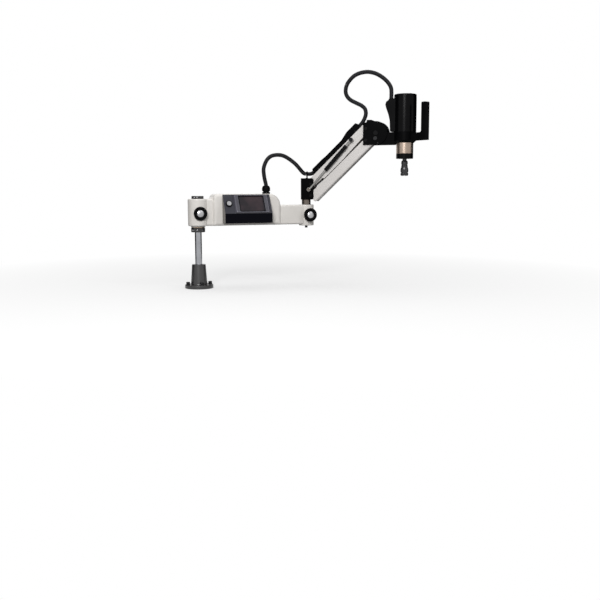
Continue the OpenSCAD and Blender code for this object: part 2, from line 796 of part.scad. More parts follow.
module elbow_shaft() {
    low_z = elbow_low_z + 3.5;
    color([0.55, 0.50, 0.46]) translate([arm_span, 0, 0]) rotate_extrude() polygon([
        [0, low_z], [shaft_d/2 - 0.8, low_z], [shaft_d/2, low_z + 0.8],
        [shaft_d/2, elbow_top_z + 2*face_gap], [shoulder_d/2 - 1, elbow_top_z + 2*face_gap],
        [shoulder_d/2, elbow_top_z + 2*face_gap + 1], [shoulder_d/2, yoke_z - 1], [shoulder_d/2 - 1, yoke_z],
        [shaft_d/2, yoke_z], [shaft_d/2, yoke_z + yoke_h - 14], [shaft_d/2 - 1, yoke_z + yoke_h - 13],
        [0, yoke_z + yoke_h - 13]
    ]);
}

module elbow_retaining_nut() {
    color([0.10, 0.10, 0.11]) translate([arm_span, 0, elbow_low_z]) {
        translate([0, 0, 0.5]) ring(shaft_d + 13, 0, 3, 0.5);
        translate([0, 0, -10]) cylinder(d = 13, h = 11, $fn = 6);
    }
}

// Pin across a yoke at p, with its head, circlip and the sleeve between the links' walls
module cross_pin(p) {
    inner_w = link_w - 2*link_t;
    translate([p[0], 0, p[1]]) {
        bar_y(pin_d, -yoke_w/2 - 2.5, yoke_w/2);
        bar_y(1.5*pin_d, yoke_w/2, yoke_w/2 + 3);
        difference() {
            bar_y(1.4*pin_d, -yoke_w/2 - 1.3, -yoke_w/2);
            bar_y(pin_d + 2*seat_gap, -yoke_w, 0);
        }
        difference() {
            bar_y(2*sleeve_r, -inner_w/2 + face_gap, inner_w/2 - face_gap);
            bar_y(pin_d + 2*seat_gap, -yoke_w, yoke_w);
        }
    }
}

module yoke_pins() {
    color([0.62, 0.63, 0.64]) on_second_arm() for (p = [lower_pin, upper_pin]) cross_pin(p);
}

module gas_lower_stud() {
    color([0.45, 0.45, 0.46]) at_point(gas_low) {
        bar_y(gas_stud_d - 2, -yoke_w/2, -cheek_y);
        bar_y(gas_stud_d, gas_y - 6, -yoke_w/2);
        bar_y(gas_stud_d + 3, gas_y - 8, gas_y - 6);
    }
}

module hose_clip() {
    color([0.10, 0.10, 0.11]) on_second_arm() {
        translate([1, 0, yoke_z + yoke_h - 9]) cylinder(d = 6, h = 11);
        rotate(clip_a) {
            translate([clip_x - 3, 0, hose_z]) rotate([0, 90, 0]) ring(hose_d + 5, hose_d + 0.6, 6, 0.5);
            translate([clip_x - 3, -5, yoke_z + yoke_h]) cube([6, 10, hose_z - hose_d/2 - yoke_z - yoke_h - 1]);
        }
    }
}

// Channel section of a link, in Y and Z, open below; deep and top are measured from the pins
module channel_section(deep, top, r) {
    difference() {
        round_rect(-link_w/2, link_w/2, -deep - 20, top, r);
        translate([-link_w/2 + link_t, -deep - 30]) square([link_w - 2*link_t, deep + 30 + top - link_t]);
    }
}

module lower_link() {
    color([0.88, 0.87, 0.85]) on_link(lower_pin) difference() {
        intersection() {
            across(-link_w/2, link_w/2) {
                circle(link_ear_r);
                round_rect(-lower_link_back, link_span + lower_link_end, -lower_link_deep, lower_link_top, 8);
            }
            along(-link_ear_r, link_span + lower_link_end)
                mirror([0, 1]) channel_section(link_ear_r, lower_link_deep, 7);
        }
        translate([-link_ear_r, -link_w/2 + link_t, -lower_link_deep - 1])
            cube([link_ear_r + 4, link_w - 2*link_t, lower_link_deep]);
        for (u = [0, link_span]) translate([u, 0, 0]) bar_y(pin_d + 2*run_gap, -link_w, link_w);
    }
}

// Reliefs in the upper link's lower edge, at the yoke and towards the head
module link_reliefs() {
    edge = -upper_link_deep;
    polygon([[-link_ear_r - 2, edge - 1], [-link_ear_r - 2, -link_ear_r],
        [link_heel - 2, edge + link_relief_h], [link_heel, edge - 1]]);
    polygon([[link_relief[0], edge - 1], [link_relief[0], edge],
        [link_relief[1], edge + link_relief_h], [link_relief[1], edge - 1]]);
}

module upper_link() {
    color([0.88, 0.87, 0.85]) on_link(upper_pin) difference() {
        union() {
            intersection() {
                across(-link_w/2, link_w/2) hull() {
                    for (u = [0, link_span]) translate([u, 0]) circle(link_ear_r);
                    for (u = [-2, link_span - 12]) translate([u, 4 - upper_link_deep]) circle(4);
                    for (u = [10, link_span - 4]) translate([u, upper_link_top - 4]) circle(4);
                }
                along(-link_ear_r, link_span + link_ear_r) channel_section(upper_link_deep, upper_link_top, 5);
            }
            for (u = lug_at, side = [-1, 1])
                translate([u - 7, side*(hose_cover_w/2 - hose_cover_t - 2.2) - 2, upper_link_top - 1])
                    cube([14, 4, 11]);
        }
        across(-link_w, link_w) link_reliefs();
        for (u = lug_at) translate([u, 0, upper_link_top + 5]) bar_y(3.1, -link_w, link_w);
        for (u = [0, link_span]) translate([u, 0, 0]) bar_y(pin_d + 2*run_gap, -link_w, link_w);
        translate([gas_high_on_link[0], 0, gas_high_on_link[1]])
            bar_y(gas_stud_d - 2 + 2*seat_gap, -link_w, 0);
    }
}

// Top of the hose cover, stepped from its low part to its high one, in X and Z from the link's pin
module cover_top(x0, foot0, x1, foot1, z0, sink) {
    polygon([
        [foot0, z0], [x0, 45.2 - sink], [110.6, 44.7 - sink], [130.6, 42.7 - sink],
        [link_span - 111.4, 42.7 - sink], [link_span - 73.4, 51.7 - sink], [x1, 51.7 - sink], [foot1, z0]
    ]);
}

module hose_cover() {
    half = hose_cover_w/2;
    color([0.05, 0.05, 0.06]) on_link(upper_pin) difference() {
        across(-half, half)
            cover_top(48.6, 32.6, hose_cover_end - 12, hose_cover_end, upper_link_top, 0);
        across(-half + hose_cover_t, half - hose_cover_t)
            cover_top(18.6, 2.6, link_span + 24, link_span + 13, upper_link_top - 1, hose_cover_t);
        for (u = lug_at) translate([u, 0, upper_link_top + 5]) bar_y(3.4, -link_w, link_w);
    }
}

module hose_cover_screws() {
    color([0.25, 0.25, 0.26]) on_link(upper_pin) for (u = lug_at, side = [-1, 1])
        translate([u, side*hose_cover_w/2, upper_link_top + 5]) rotate([-90*side, 0, 0]) pan_screw(3, 5.5);
}

module gas_upper_stud() {
    color([0.10, 0.10, 0.11]) at_point(gas_high) {
        bar_y(gas_stud_d - 2, -link_w/2, -link_w/2 + link_t);
        bar_y(1.6*gas_stud_d, -link_w/2 + link_t, -link_w/2 + link_t + 5);
        bar_y(gas_stud_d, gas_y - 6, -link_w/2);
        bar_y(gas_stud_d + 8, gas_y - 9, gas_y - 6);
    }
}

module hose_middle() {
    color([0.07, 0.07, 0.08]) on_second_arm()
        hose(hose_middle_way, [cos(clip_a), sin(clip_a), 0], [12, 0, 14], [sin(clip_a), -cos(clip_a), 0]);
}

// Puts children on the gas spring's axis, from its lower eye
module on_gas_spring() {
    at_point(gas_low) translate([0, gas_y, 0]) rotate([0, -gas_a, 0]) children();
}

// Eye on a stud and the neck that joins it to the spring, which runs to +X
module gas_eye(neck_d, neck_len) {
    difference() {
        union() {
            bar_y(gas_eye_d, -5, 5);
            rotate([0, 90, 0]) cylinder(d = neck_d, h = neck_len);
        }
        bar_y(gas_stud_d + 2*run_gap, -10, 10);
    }
}

module gas_rod() {
    tip = gas_span - gas_end_gap - 80;
    color([0.80, 0.81, 0.82]) on_gas_spring() translate([gas_neck, 0, 0]) rotate([0, 90, 0])
        cylinder(d = gas_rod_d, h = tip - gas_neck);
}

module gas_rod_end() {
    color([0.55, 0.55, 0.56]) on_gas_spring() gas_eye(gas_rod_d + 2, gas_neck);
}

module gas_cylinder() {
    color([0.06, 0.06, 0.07]) on_gas_spring()
        translate([gas_span - gas_end_gap - gas_len, 0, 0]) rotate([0, 90, 0]) difference() {
            ring(gas_d, 0, gas_len, 1);
            translate([0, 0, -1]) cylinder(d = gas_bore_d, h = gas_len - 8);
        }
}

module gas_cylinder_end() {
    color([0.72, 0.72, 0.72]) on_gas_spring() translate([gas_span, 0, 0]) rotate([0, 180, 0])
        gas_eye(gas_rod_d + 3, gas_end_gap);
}

// ---- Head ----

module head_bracket() {
    top_z = tilt[1] + bracket_r;
    bump = [head_lower_pin[0] + 4.7, head_lower_pin[0] + 24.7];
    color([0.06, 0.06, 0.07]) on_second_arm() difference() {
        union() {
            for (y = [-yoke_w/2, cheek_y]) across(y, y + cheek_t) {
                translate(tilt) circle(bracket_r, $fn = 96);
                polygon([
                    [bracket_back, bracket_low_z], [tilt[0], bracket_low_z], [tilt[0], top_z],
                    [bump[1], top_z], [bump[1], top_z + 6], [bump[0], top_z + 6],
                    [bump[0] - 2, top_z - 4], [bracket_back, top_z - 6]
                ]);
            }
            across(-cheek_y - 1, cheek_y + 1) translate([bump[0], top_z - 6.5]) square([20, 12.5]);
        }
        for (p = [head_lower_pin, head_upper_pin]) translate([p[0], 0, p[1]])
            bar_y(pin_d + 2*seat_gap, -yoke_w, yoke_w);
        translate([tilt[0], 0, tilt[1]]) bar_y(tilt_bolt_d + 2*seat_gap, -yoke_w, yoke_w);
        translate([tilt[0] - 1, 0, tilt[1] - 22.6]) bar_y(8 + 2*seat_gap, -yoke_w, 0);
        translate([tilt[0] + 9.7, 0, tilt[1] - 42.3]) bar_y(6 + 2*seat_gap, -yoke_w, 0);
    }
}

module head_pins() {
    color([0.20, 0.20, 0.21]) on_second_arm() for (p = [head_lower_pin, head_upper_pin]) cross_pin(p);
}

module tilt_bolt() {
    color([0.20, 0.20, 0.21]) at_point(tilt) {
        bar_y(tilt_bolt_d, -yoke_w/2, yoke_w/2);
        bar_y(20, -yoke_w/2 - 3, -yoke_w/2);
        translate([0, yoke_w/2, 0]) rotate([-90, 0, 0]) cylinder(d = 21, h = 8, $fn = 6);
    }
}

module tilt_lock_screw() {
    color([0.55, 0.55, 0.56]) {
        at_point(tilt - [1, 22.6]) {
            bar_y(8, -yoke_w/2, -cheek_y);
            bar_y(16.6, -yoke_w/2 - 4, -yoke_w/2);
        }
        at_point(tilt + [9.7, -42.3]) bar_y(6, -yoke_w/2 - 1, -cheek_y);
    }
}

module hose_upper() {
    color([0.07, 0.07, 0.08]) on_second_arm()
        hose(hose_upper_way, [12, 0, 14], [0, 0, -1], [sin(clip_a), -cos(clip_a), 0]);
}

module motor_bracket() {
    arm_w = tilt_hub_w;
    color([0.06, 0.06, 0.07]) difference() {
        union() {
            at_point(tilt) bar_y(2*tilt_hub_r, -tilt_hub_w/2, tilt_hub_w/2);
            on_second_arm() across(-arm_w/2, arm_w/2) polygon([
                [tilt[0] - 8, ring_top_z - 52], [tilt[0] + 77, ring_top_z - 52], [tilt[0] + 82, ring_top_z - 45],
                [motor_x, ring_top_z - 45], [motor_x, ring_top_z], [tilt[0], ring_top_z],
                [tilt[0] - 8, tilt[1] - 10]
            ]);
            on_motor_axis() rotate_extrude() polygon([
                [0, ring_low_z], [reducer_d/2 + 2.4, ring_low_z], [motor_d/2, ring_low_z + 9],
                [motor_d/2, ring_top_z], [0, ring_top_z]
            ]);
        }
        at_point(tilt) bar_y(tilt_bolt_d + 2*run_gap, -yoke_w, yoke_w);
        on_motor_axis() {
            translate([0, 0, ring_low_z - 10]) cylinder(d = ring_bore_d, h = ring_h + 20);
            translate([0, 0, ring_low_z - 10]) cylinder(d = reducer_d + 2*seat_gap, h = 11.5);
        }
        handle_bolt_places() {
            translate([0, 0, ring_bore_d/2 - 1]) cylinder(d = 6.4, h = motor_d/2);
            translate([0, 0, ring_bore_d/3]) cylinder(d = 10.4, h = bolt_head_r - ring_bore_d/3);
        }
    }
}

module motor_housing() {
    color([0.05, 0.05, 0.06]) on_motor_axis() translate([0, 0, ring_top_z])
        ring(motor_d, 0, motor_h - 12, 0.6);
}

module motor_cap() {
    color([0.05, 0.05, 0.06]) on_motor_axis() translate([0, 0, motor_top_z - 12])
        rotate_extrude() {
            square([motor_d/2 - 4, 12]);
            square([motor_d/2 - 0.4, 8]);
            translate([motor_d/2 - 4.4, 8]) circle(4, $fn = 32);
        }
}

module connector_box() {
    color([0.07, 0.07, 0.08]) on_second_arm() difference() {
        union() {
            across(box_y - box_w/2, box_y + box_w/2) polygon([
                [box_x, box_top_z], [box_x - 18, box_top_z - 13], [box_x - 21.5, box_top_z - 25],
                [box_x - 18, box_top_z - 39], [box_x - 8, box_top_z - 66], [box_x - 2, box_top_z - 91],
                [box_x, ring_top_z + 3], [motor_x - box_root, ring_top_z + 3], [motor_x - box_root, box_top_z]
            ]);
            translate([box_hose_x, box_hose_y, box_top_z - 26]) cylinder(d = hose_d + 4, h = 26);
        }
        translate([motor_x, 0, ring_top_z]) cylinder(d = motor_d + 2*seat_gap, h = motor_h);
    }
}

module reducer() {
    color([0.66, 0.56, 0.49]) on_motor_axis() difference() {
        union() {
            translate([0, 0, reducer_low_z]) ring(reducer_d, 0, reducer_h + 1.5, 0.8);
            translate([0, 0, ring_low_z]) cylinder(d = ring_bore_d - 0.2, h = 20);
        }
        translate([0, 0, reducer_low_z - 1]) cylinder(d = neck_d + 2*run_gap, h = 31);
    }
}

module reducer_ring() {
    color([0.06, 0.06, 0.07]) on_motor_axis() difference() {
        translate([0, 0, nose_z]) ring(reducer_d, 0, lower_ring_h, 1);
        translate([0, 0, nose_z - 1]) cylinder(d = neck_d + 2*run_gap, h = lower_ring_h + 2);
    }
}

// Puts children on the grip's plane, with X away from the motor
module on_grip() {
    on_motor_axis() rotate(grip_a) children();
}

// Puts children on the handle's two bolts, with Z along each bolt
module handle_bolt_places() {
    on_grip() for (z = [grip_foot_z + 8, grip_foot_z + 22]) translate([0, 0, z]) rotate([0, 90, 0]) children();
}

module handle() {
    inner = grip_reach - grip_t/2;
    outer = grip_reach + grip_t/2;
    color([0.04, 0.04, 0.05]) difference() {
        on_grip() across(-grip_w/2, grip_w/2) {
            translate([motor_d/2 - 4, grip_foot_z - 2]) square([inner - motor_d/2 + 12, 33]);
            round_rect(inner, outer, grip_foot_z - 2, grip_foot_z + grip_h, 5);
            translate([outer - 10, grip_foot_z - 2]) square([10, 20]);
            difference() {
                translate([inner - 8, grip_foot_z + 30]) square([9, 9]);
                translate([inner - 8, grip_foot_z + 39]) circle(8, $fn = 32);
            }
        }
        on_motor_axis() translate([0, 0, ring_low_z]) cylinder(d = motor_d + 2*seat_gap, h = motor_h);
        handle_bolt_places() cylinder(d = 6 + 2*seat_gap, h = bolt_head_r + bolt_len + 2);
        on_grip() for (z = [forward_z, reverse_z]) translate([inner, 0, z]) rotate([0, 90, 0])
            translate([0, 0, -1]) cylinder(d = grip_button_d + 0.4, h = 7);
    }
}

module handle_bolts() {
    color([0.35, 0.35, 0.36]) handle_bolt_places()
        translate([0, 0, bolt_head_r]) rotate([180, 0, 0]) cap_screw(6, bolt_len);
}

// Push button in the grip's inner face, standing proud by its travel
module grip_button(z) {
    on_grip() translate([grip_reach - grip_t/2 - grip_button_out, 0, z]) rotate([0, 90, 0])
        ring(grip_button_d, 0, grip_button_out + 6 - grip_button_travel - face_gap, 0.8);
}

module forward_button() {
    color([0.10, 0.35, 0.16]) grip_button(forward_z);
}

module reverse_button() {
    color([0.45, 0.08, 0.07]) grip_button(reverse_z);
}

module spindle_chuck() {
    foot_z = sleeve_low_z + 2;
    color([0.30, 0.30, 0.31]) on_motor_axis() difference() {
        rotate_extrude() polygon([
            [0, foot_z], [socket_d/2 + socket_wall - 0.6, foot_z], [socket_d/2 + socket_wall, foot_z + 0.6],
            [socket_d/2 + socket_wall, sleeve_top_z], [chuck_d/2, sleeve_top_z],
            [chuck_d/2, sleeve_top_z + 9], [chuck_d/2 - 1.2, sleeve_top_z + 10.2],
            [chuck_d/2 - 1.2, sleeve_top_z + 13], [chuck_d/2, sleeve_top_z + 14.2],
            [chuck_d/2, chuck_top_z - 5], [chuck_d/2 - 3, chuck_top_z], [neck_d/2, chuck_top_z],
            [neck_d/2, reducer_low_z + 28], [0, reducer_low_z + 28]
        ]);
        translate([0, 0, foot_z - 1]) cylinder(d = socket_d, h = socket_deep + 1);
    }
}

module chuck_sleeve() {
    inner = socket_d + 2*socket_wall + 2*run_gap;
    wall = sleeve_d/2;
    color([0.12, 0.12, 0.13]) on_motor_axis() translate([0, 0, sleeve_low_z]) difference() {
        rotate_extrude() polygon([
            [inner/2, 0], [wall - 3, 0], [wall - 1, 1.2], [wall, 4], [wall, 10], [wall - 1.4, 11.4],
            [wall - 1.4, 15], [wall, 16.4], [wall, sleeve_h - 6], [wall - 1.2, sleeve_h],
            [chuck_d/2 + 0.1, sleeve_h], [chuck_d/2 + 0.1, sleeve_h - 6], [inner/2, sleeve_h - 6]
        ]);
        rotate(notch_a) translate([-sleeve_d, -3, -1]) cube([2*sleeve_d, 6, 6]);
    }
}

base_flange();
column();
column_set_screws();
lower_collar();
upper_collar();
collar_screws();
thrust_washer();
arm_casting();
rear_cover();
rear_cover_screws();
column_bushes();
elbow_bearings();
console_housing();
console_panel();
screen_bezel();
screen();
button_collar();
control_board();
power_supply();
hose_gland();
gland_nut();
hose_lower();
power_button();
swing_knob();
swing_knob_insert();
elbow_knob();
elbow_knob_insert();
elbow_yoke();
elbow_shaft();
elbow_retaining_nut();
yoke_pins();
gas_lower_stud();
hose_clip();
upper_link();
hose_cover();
hose_cover_screws();
gas_upper_stud();
hose_middle();
lower_link();
gas_rod();
gas_rod_end();
gas_cylinder();
gas_cylinder_end();
head_bracket();
head_pins();
tilt_bolt();
tilt_lock_screw();
hose_upper();
motor_bracket();
motor_housing();
motor_cap();
connector_box();
reducer();
reducer_ring();
handle();
handle_bolts();
spindle_chuck();
chuck_sleeve();
forward_button();
reverse_button();
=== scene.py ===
import math

import bpy
from mathutils import Matrix, Vector


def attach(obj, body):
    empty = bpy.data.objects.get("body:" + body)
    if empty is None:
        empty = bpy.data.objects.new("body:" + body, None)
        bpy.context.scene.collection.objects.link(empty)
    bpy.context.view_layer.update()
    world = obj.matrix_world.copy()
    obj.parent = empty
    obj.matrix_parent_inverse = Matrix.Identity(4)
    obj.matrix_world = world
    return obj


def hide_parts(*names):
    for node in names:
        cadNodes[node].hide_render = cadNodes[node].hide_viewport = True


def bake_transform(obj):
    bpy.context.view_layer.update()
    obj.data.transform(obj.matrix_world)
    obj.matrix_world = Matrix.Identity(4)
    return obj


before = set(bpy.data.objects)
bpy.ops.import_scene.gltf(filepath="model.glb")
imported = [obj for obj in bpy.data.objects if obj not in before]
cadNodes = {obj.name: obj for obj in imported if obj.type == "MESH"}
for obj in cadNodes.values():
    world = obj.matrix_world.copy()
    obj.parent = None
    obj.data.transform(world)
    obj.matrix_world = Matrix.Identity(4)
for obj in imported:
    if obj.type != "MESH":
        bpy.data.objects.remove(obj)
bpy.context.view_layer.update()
print("frame loaded:", len(cadNodes), "nodes")


# the second arm, turned about the elbow, with its own X and side
secondArm = {"elbow": (0.5, 0.0), "turn": math.radians(-38)}


def armPoint(x, side, z):
    c, s = math.cos(secondArm["turn"]), math.sin(secondArm["turn"])
    return Vector((secondArm["elbow"][0] + x * c - side * s, secondArm["elbow"][1] + x * s + side * c, z))


# where the photo was taken from, solved from the bench's and the arm's straight edges
photoCamera = {
    "place": (-0.8469, -3.4400, 0.4281),
    "lens": 48.84,  # on a 36 mm sensor
    "yaw": 20.93,   # from +Y towards +X
    "pitch": 7.82,  # downwards
    "roll": -0.17,
    "clip": (0.05, 60),
}


def addCamera(look):
    a, e, r = (math.radians(look[k]) for k in ("yaw", "pitch", "roll"))
    ahead = Vector((math.sin(a) * math.cos(e), math.cos(a) * math.cos(e), -math.sin(e)))
    right = Vector((math.cos(a), -math.sin(a), 0))
    up = right.cross(ahead)
    rolledRight = math.cos(r) * right + math.sin(r) * up
    rolledUp = math.cos(r) * up - math.sin(r) * right
    data = bpy.data.cameras.new("photoCamera")
    data.lens = look["lens"]
    data.clip_start, data.clip_end = look["clip"]
    camera = bpy.data.objects.new("photoCamera", data)
    bpy.context.collection.objects.link(camera)
    camera.matrix_world = Matrix.Translation(look["place"]) @ Matrix(
        (rolledRight, rolledUp, -ahead)).transposed().to_4x4()
    bpy.context.scene.camera = camera


addCamera(photoCamera)
bpy.context.scene.view_settings.view_transform = "Standard"
print("camera placed")


def addNode(tree, kind, inputs=None, **settings):
    # inputs are plain values or the sockets of other nodes
    made = tree.nodes.new(kind)
    for key, value in settings.items():
        setattr(made, key, value)
    for key, value in (inputs or {}).items():
        if isinstance(value, bpy.types.NodeSocket):
            tree.links.new(value, made.inputs[key])
        else:
            made.inputs[key].default_value = value
    return made


def shown(colour):
    # display values from 0 to 1, as read off a picture, to the linear ones that sockets take
    linear = [c / 12.92 if c <= 0.04045 else ((c + 0.055) / 1.055) ** 2.4 for c in colour]
    return (*linear, 1)


def mixColours(tree, share, a, b):
    made = addNode(tree, "ShaderNodeMix", {0: share}, data_type="RGBA")
    for index, value in ((6, a), (7, b)):
        if isinstance(value, bpy.types.NodeSocket):
            tree.links.new(value, made.inputs[index])
        else:
            made.inputs[index].default_value = value
    return made.outputs[2]


def mapRange(tree, value, low, high, toLow, toHigh):
    return addNode(tree, "ShaderNodeMapRange", {
        "Value": value, "From Min": low, "From Max": high,
        "To Min": toLow, "To Max": toHigh}).outputs["Result"]


def newMaterial(name):
    material = bpy.data.materials.new(name)
    material.use_nodes = True
    material.node_tree.nodes.clear()
    return material, material.node_tree


cloudScale = 18  # of the soft patches that all finishes share
# parts of the noise's values that a finish spreads out; "edge" is cosines between which an edge wears
noiseBands = {"cloud": (0.35, 0.65), "streak": (0.45, 0.75), "patch": (0.42, 0.6), "rough": (0.3, 0.7),
              "edge": (0.985, 0.86)}


def makeFinish(name, look):
    material, tree = newMaterial(name)
    place = addNode(tree, "ShaderNodeTexCoord").outputs["Object"]
    along = addNode(tree, "ShaderNodeMapping", {
        "Vector": place, "Scale": look.get("stretch", (1, 1, 1))}).outputs["Vector"]
    cloud = addNode(tree, "ShaderNodeTexNoise", {
        "Vector": place, "Scale": cloudScale, "Detail": 3}).outputs["Fac"]
    grain = addNode(tree, "ShaderNodeTexNoise", {
        "Vector": along, "Scale": look["grainScale"], "Detail": look.get("grainDetail", 3),
        "Roughness": 0.6}).outputs["Fac"]
    clouded = mapRange(tree, cloud, *noiseBands["cloud"], 0, 1)
    colour = mixColours(tree, clouded, shown(look["colour"]), shown(look["shade"]))
    if "streak" in look:  # a third tone that follows the grain
        streaked = mapRange(tree, grain, *noiseBands["streak"], 0, look.get("streakShare", 0.6))
        colour = mixColours(tree, streaked, colour, shown(look["streak"]))
    rounded = addNode(tree, "ShaderNodeBevel", {"Radius": look.get("edge", 0.0007)},
                      samples=4).outputs["Normal"]
    if "worn" in look:  # bare metal or lighter plastic along the edges
        facing = addNode(tree, "ShaderNodeVectorMath", {
            0: rounded, 1: addNode(tree, "ShaderNodeNewGeometry").outputs["Normal"]},
            operation="DOT_PRODUCT").outputs["Value"]
        edge = mapRange(tree, facing, *noiseBands["edge"], 0, look.get("wornShare", 0.5))
        patchy = addNode(tree, "ShaderNodeMath", {
            0: edge, 1: mapRange(tree, cloud, *noiseBands["patch"], 0.15, 1)},
            operation="MULTIPLY").outputs[0]
        colour = mixColours(tree, patchy, colour, shown(look["worn"]))
    spread = look.get("roughSpread", 0.05)
    rough = mapRange(tree, grain, *noiseBands["rough"], look["rough"] - spread, look["rough"] + spread)
    bump = addNode(tree, "ShaderNodeBump", {
        "Height": grain, "Strength": look.get("bump", 0.3), "Distance": look.get("depth", 0.0003),
        "Normal": rounded}).outputs["Normal"]
    shader = addNode(tree, "ShaderNodeBsdfPrincipled", {
        "Base Color": colour, "Roughness": rough, "Normal": bump, "Metallic": look.get("metal", 0.0),
        "Coat Weight": look.get("coat", 0.0), "Coat Roughness": look.get("coatRough", 0.12),
        "Specular IOR Level": look.get("specular", 0.5)})
    addNode(tree, "ShaderNodeOutputMaterial", {"Surface": shader.outputs[0]})
    return material


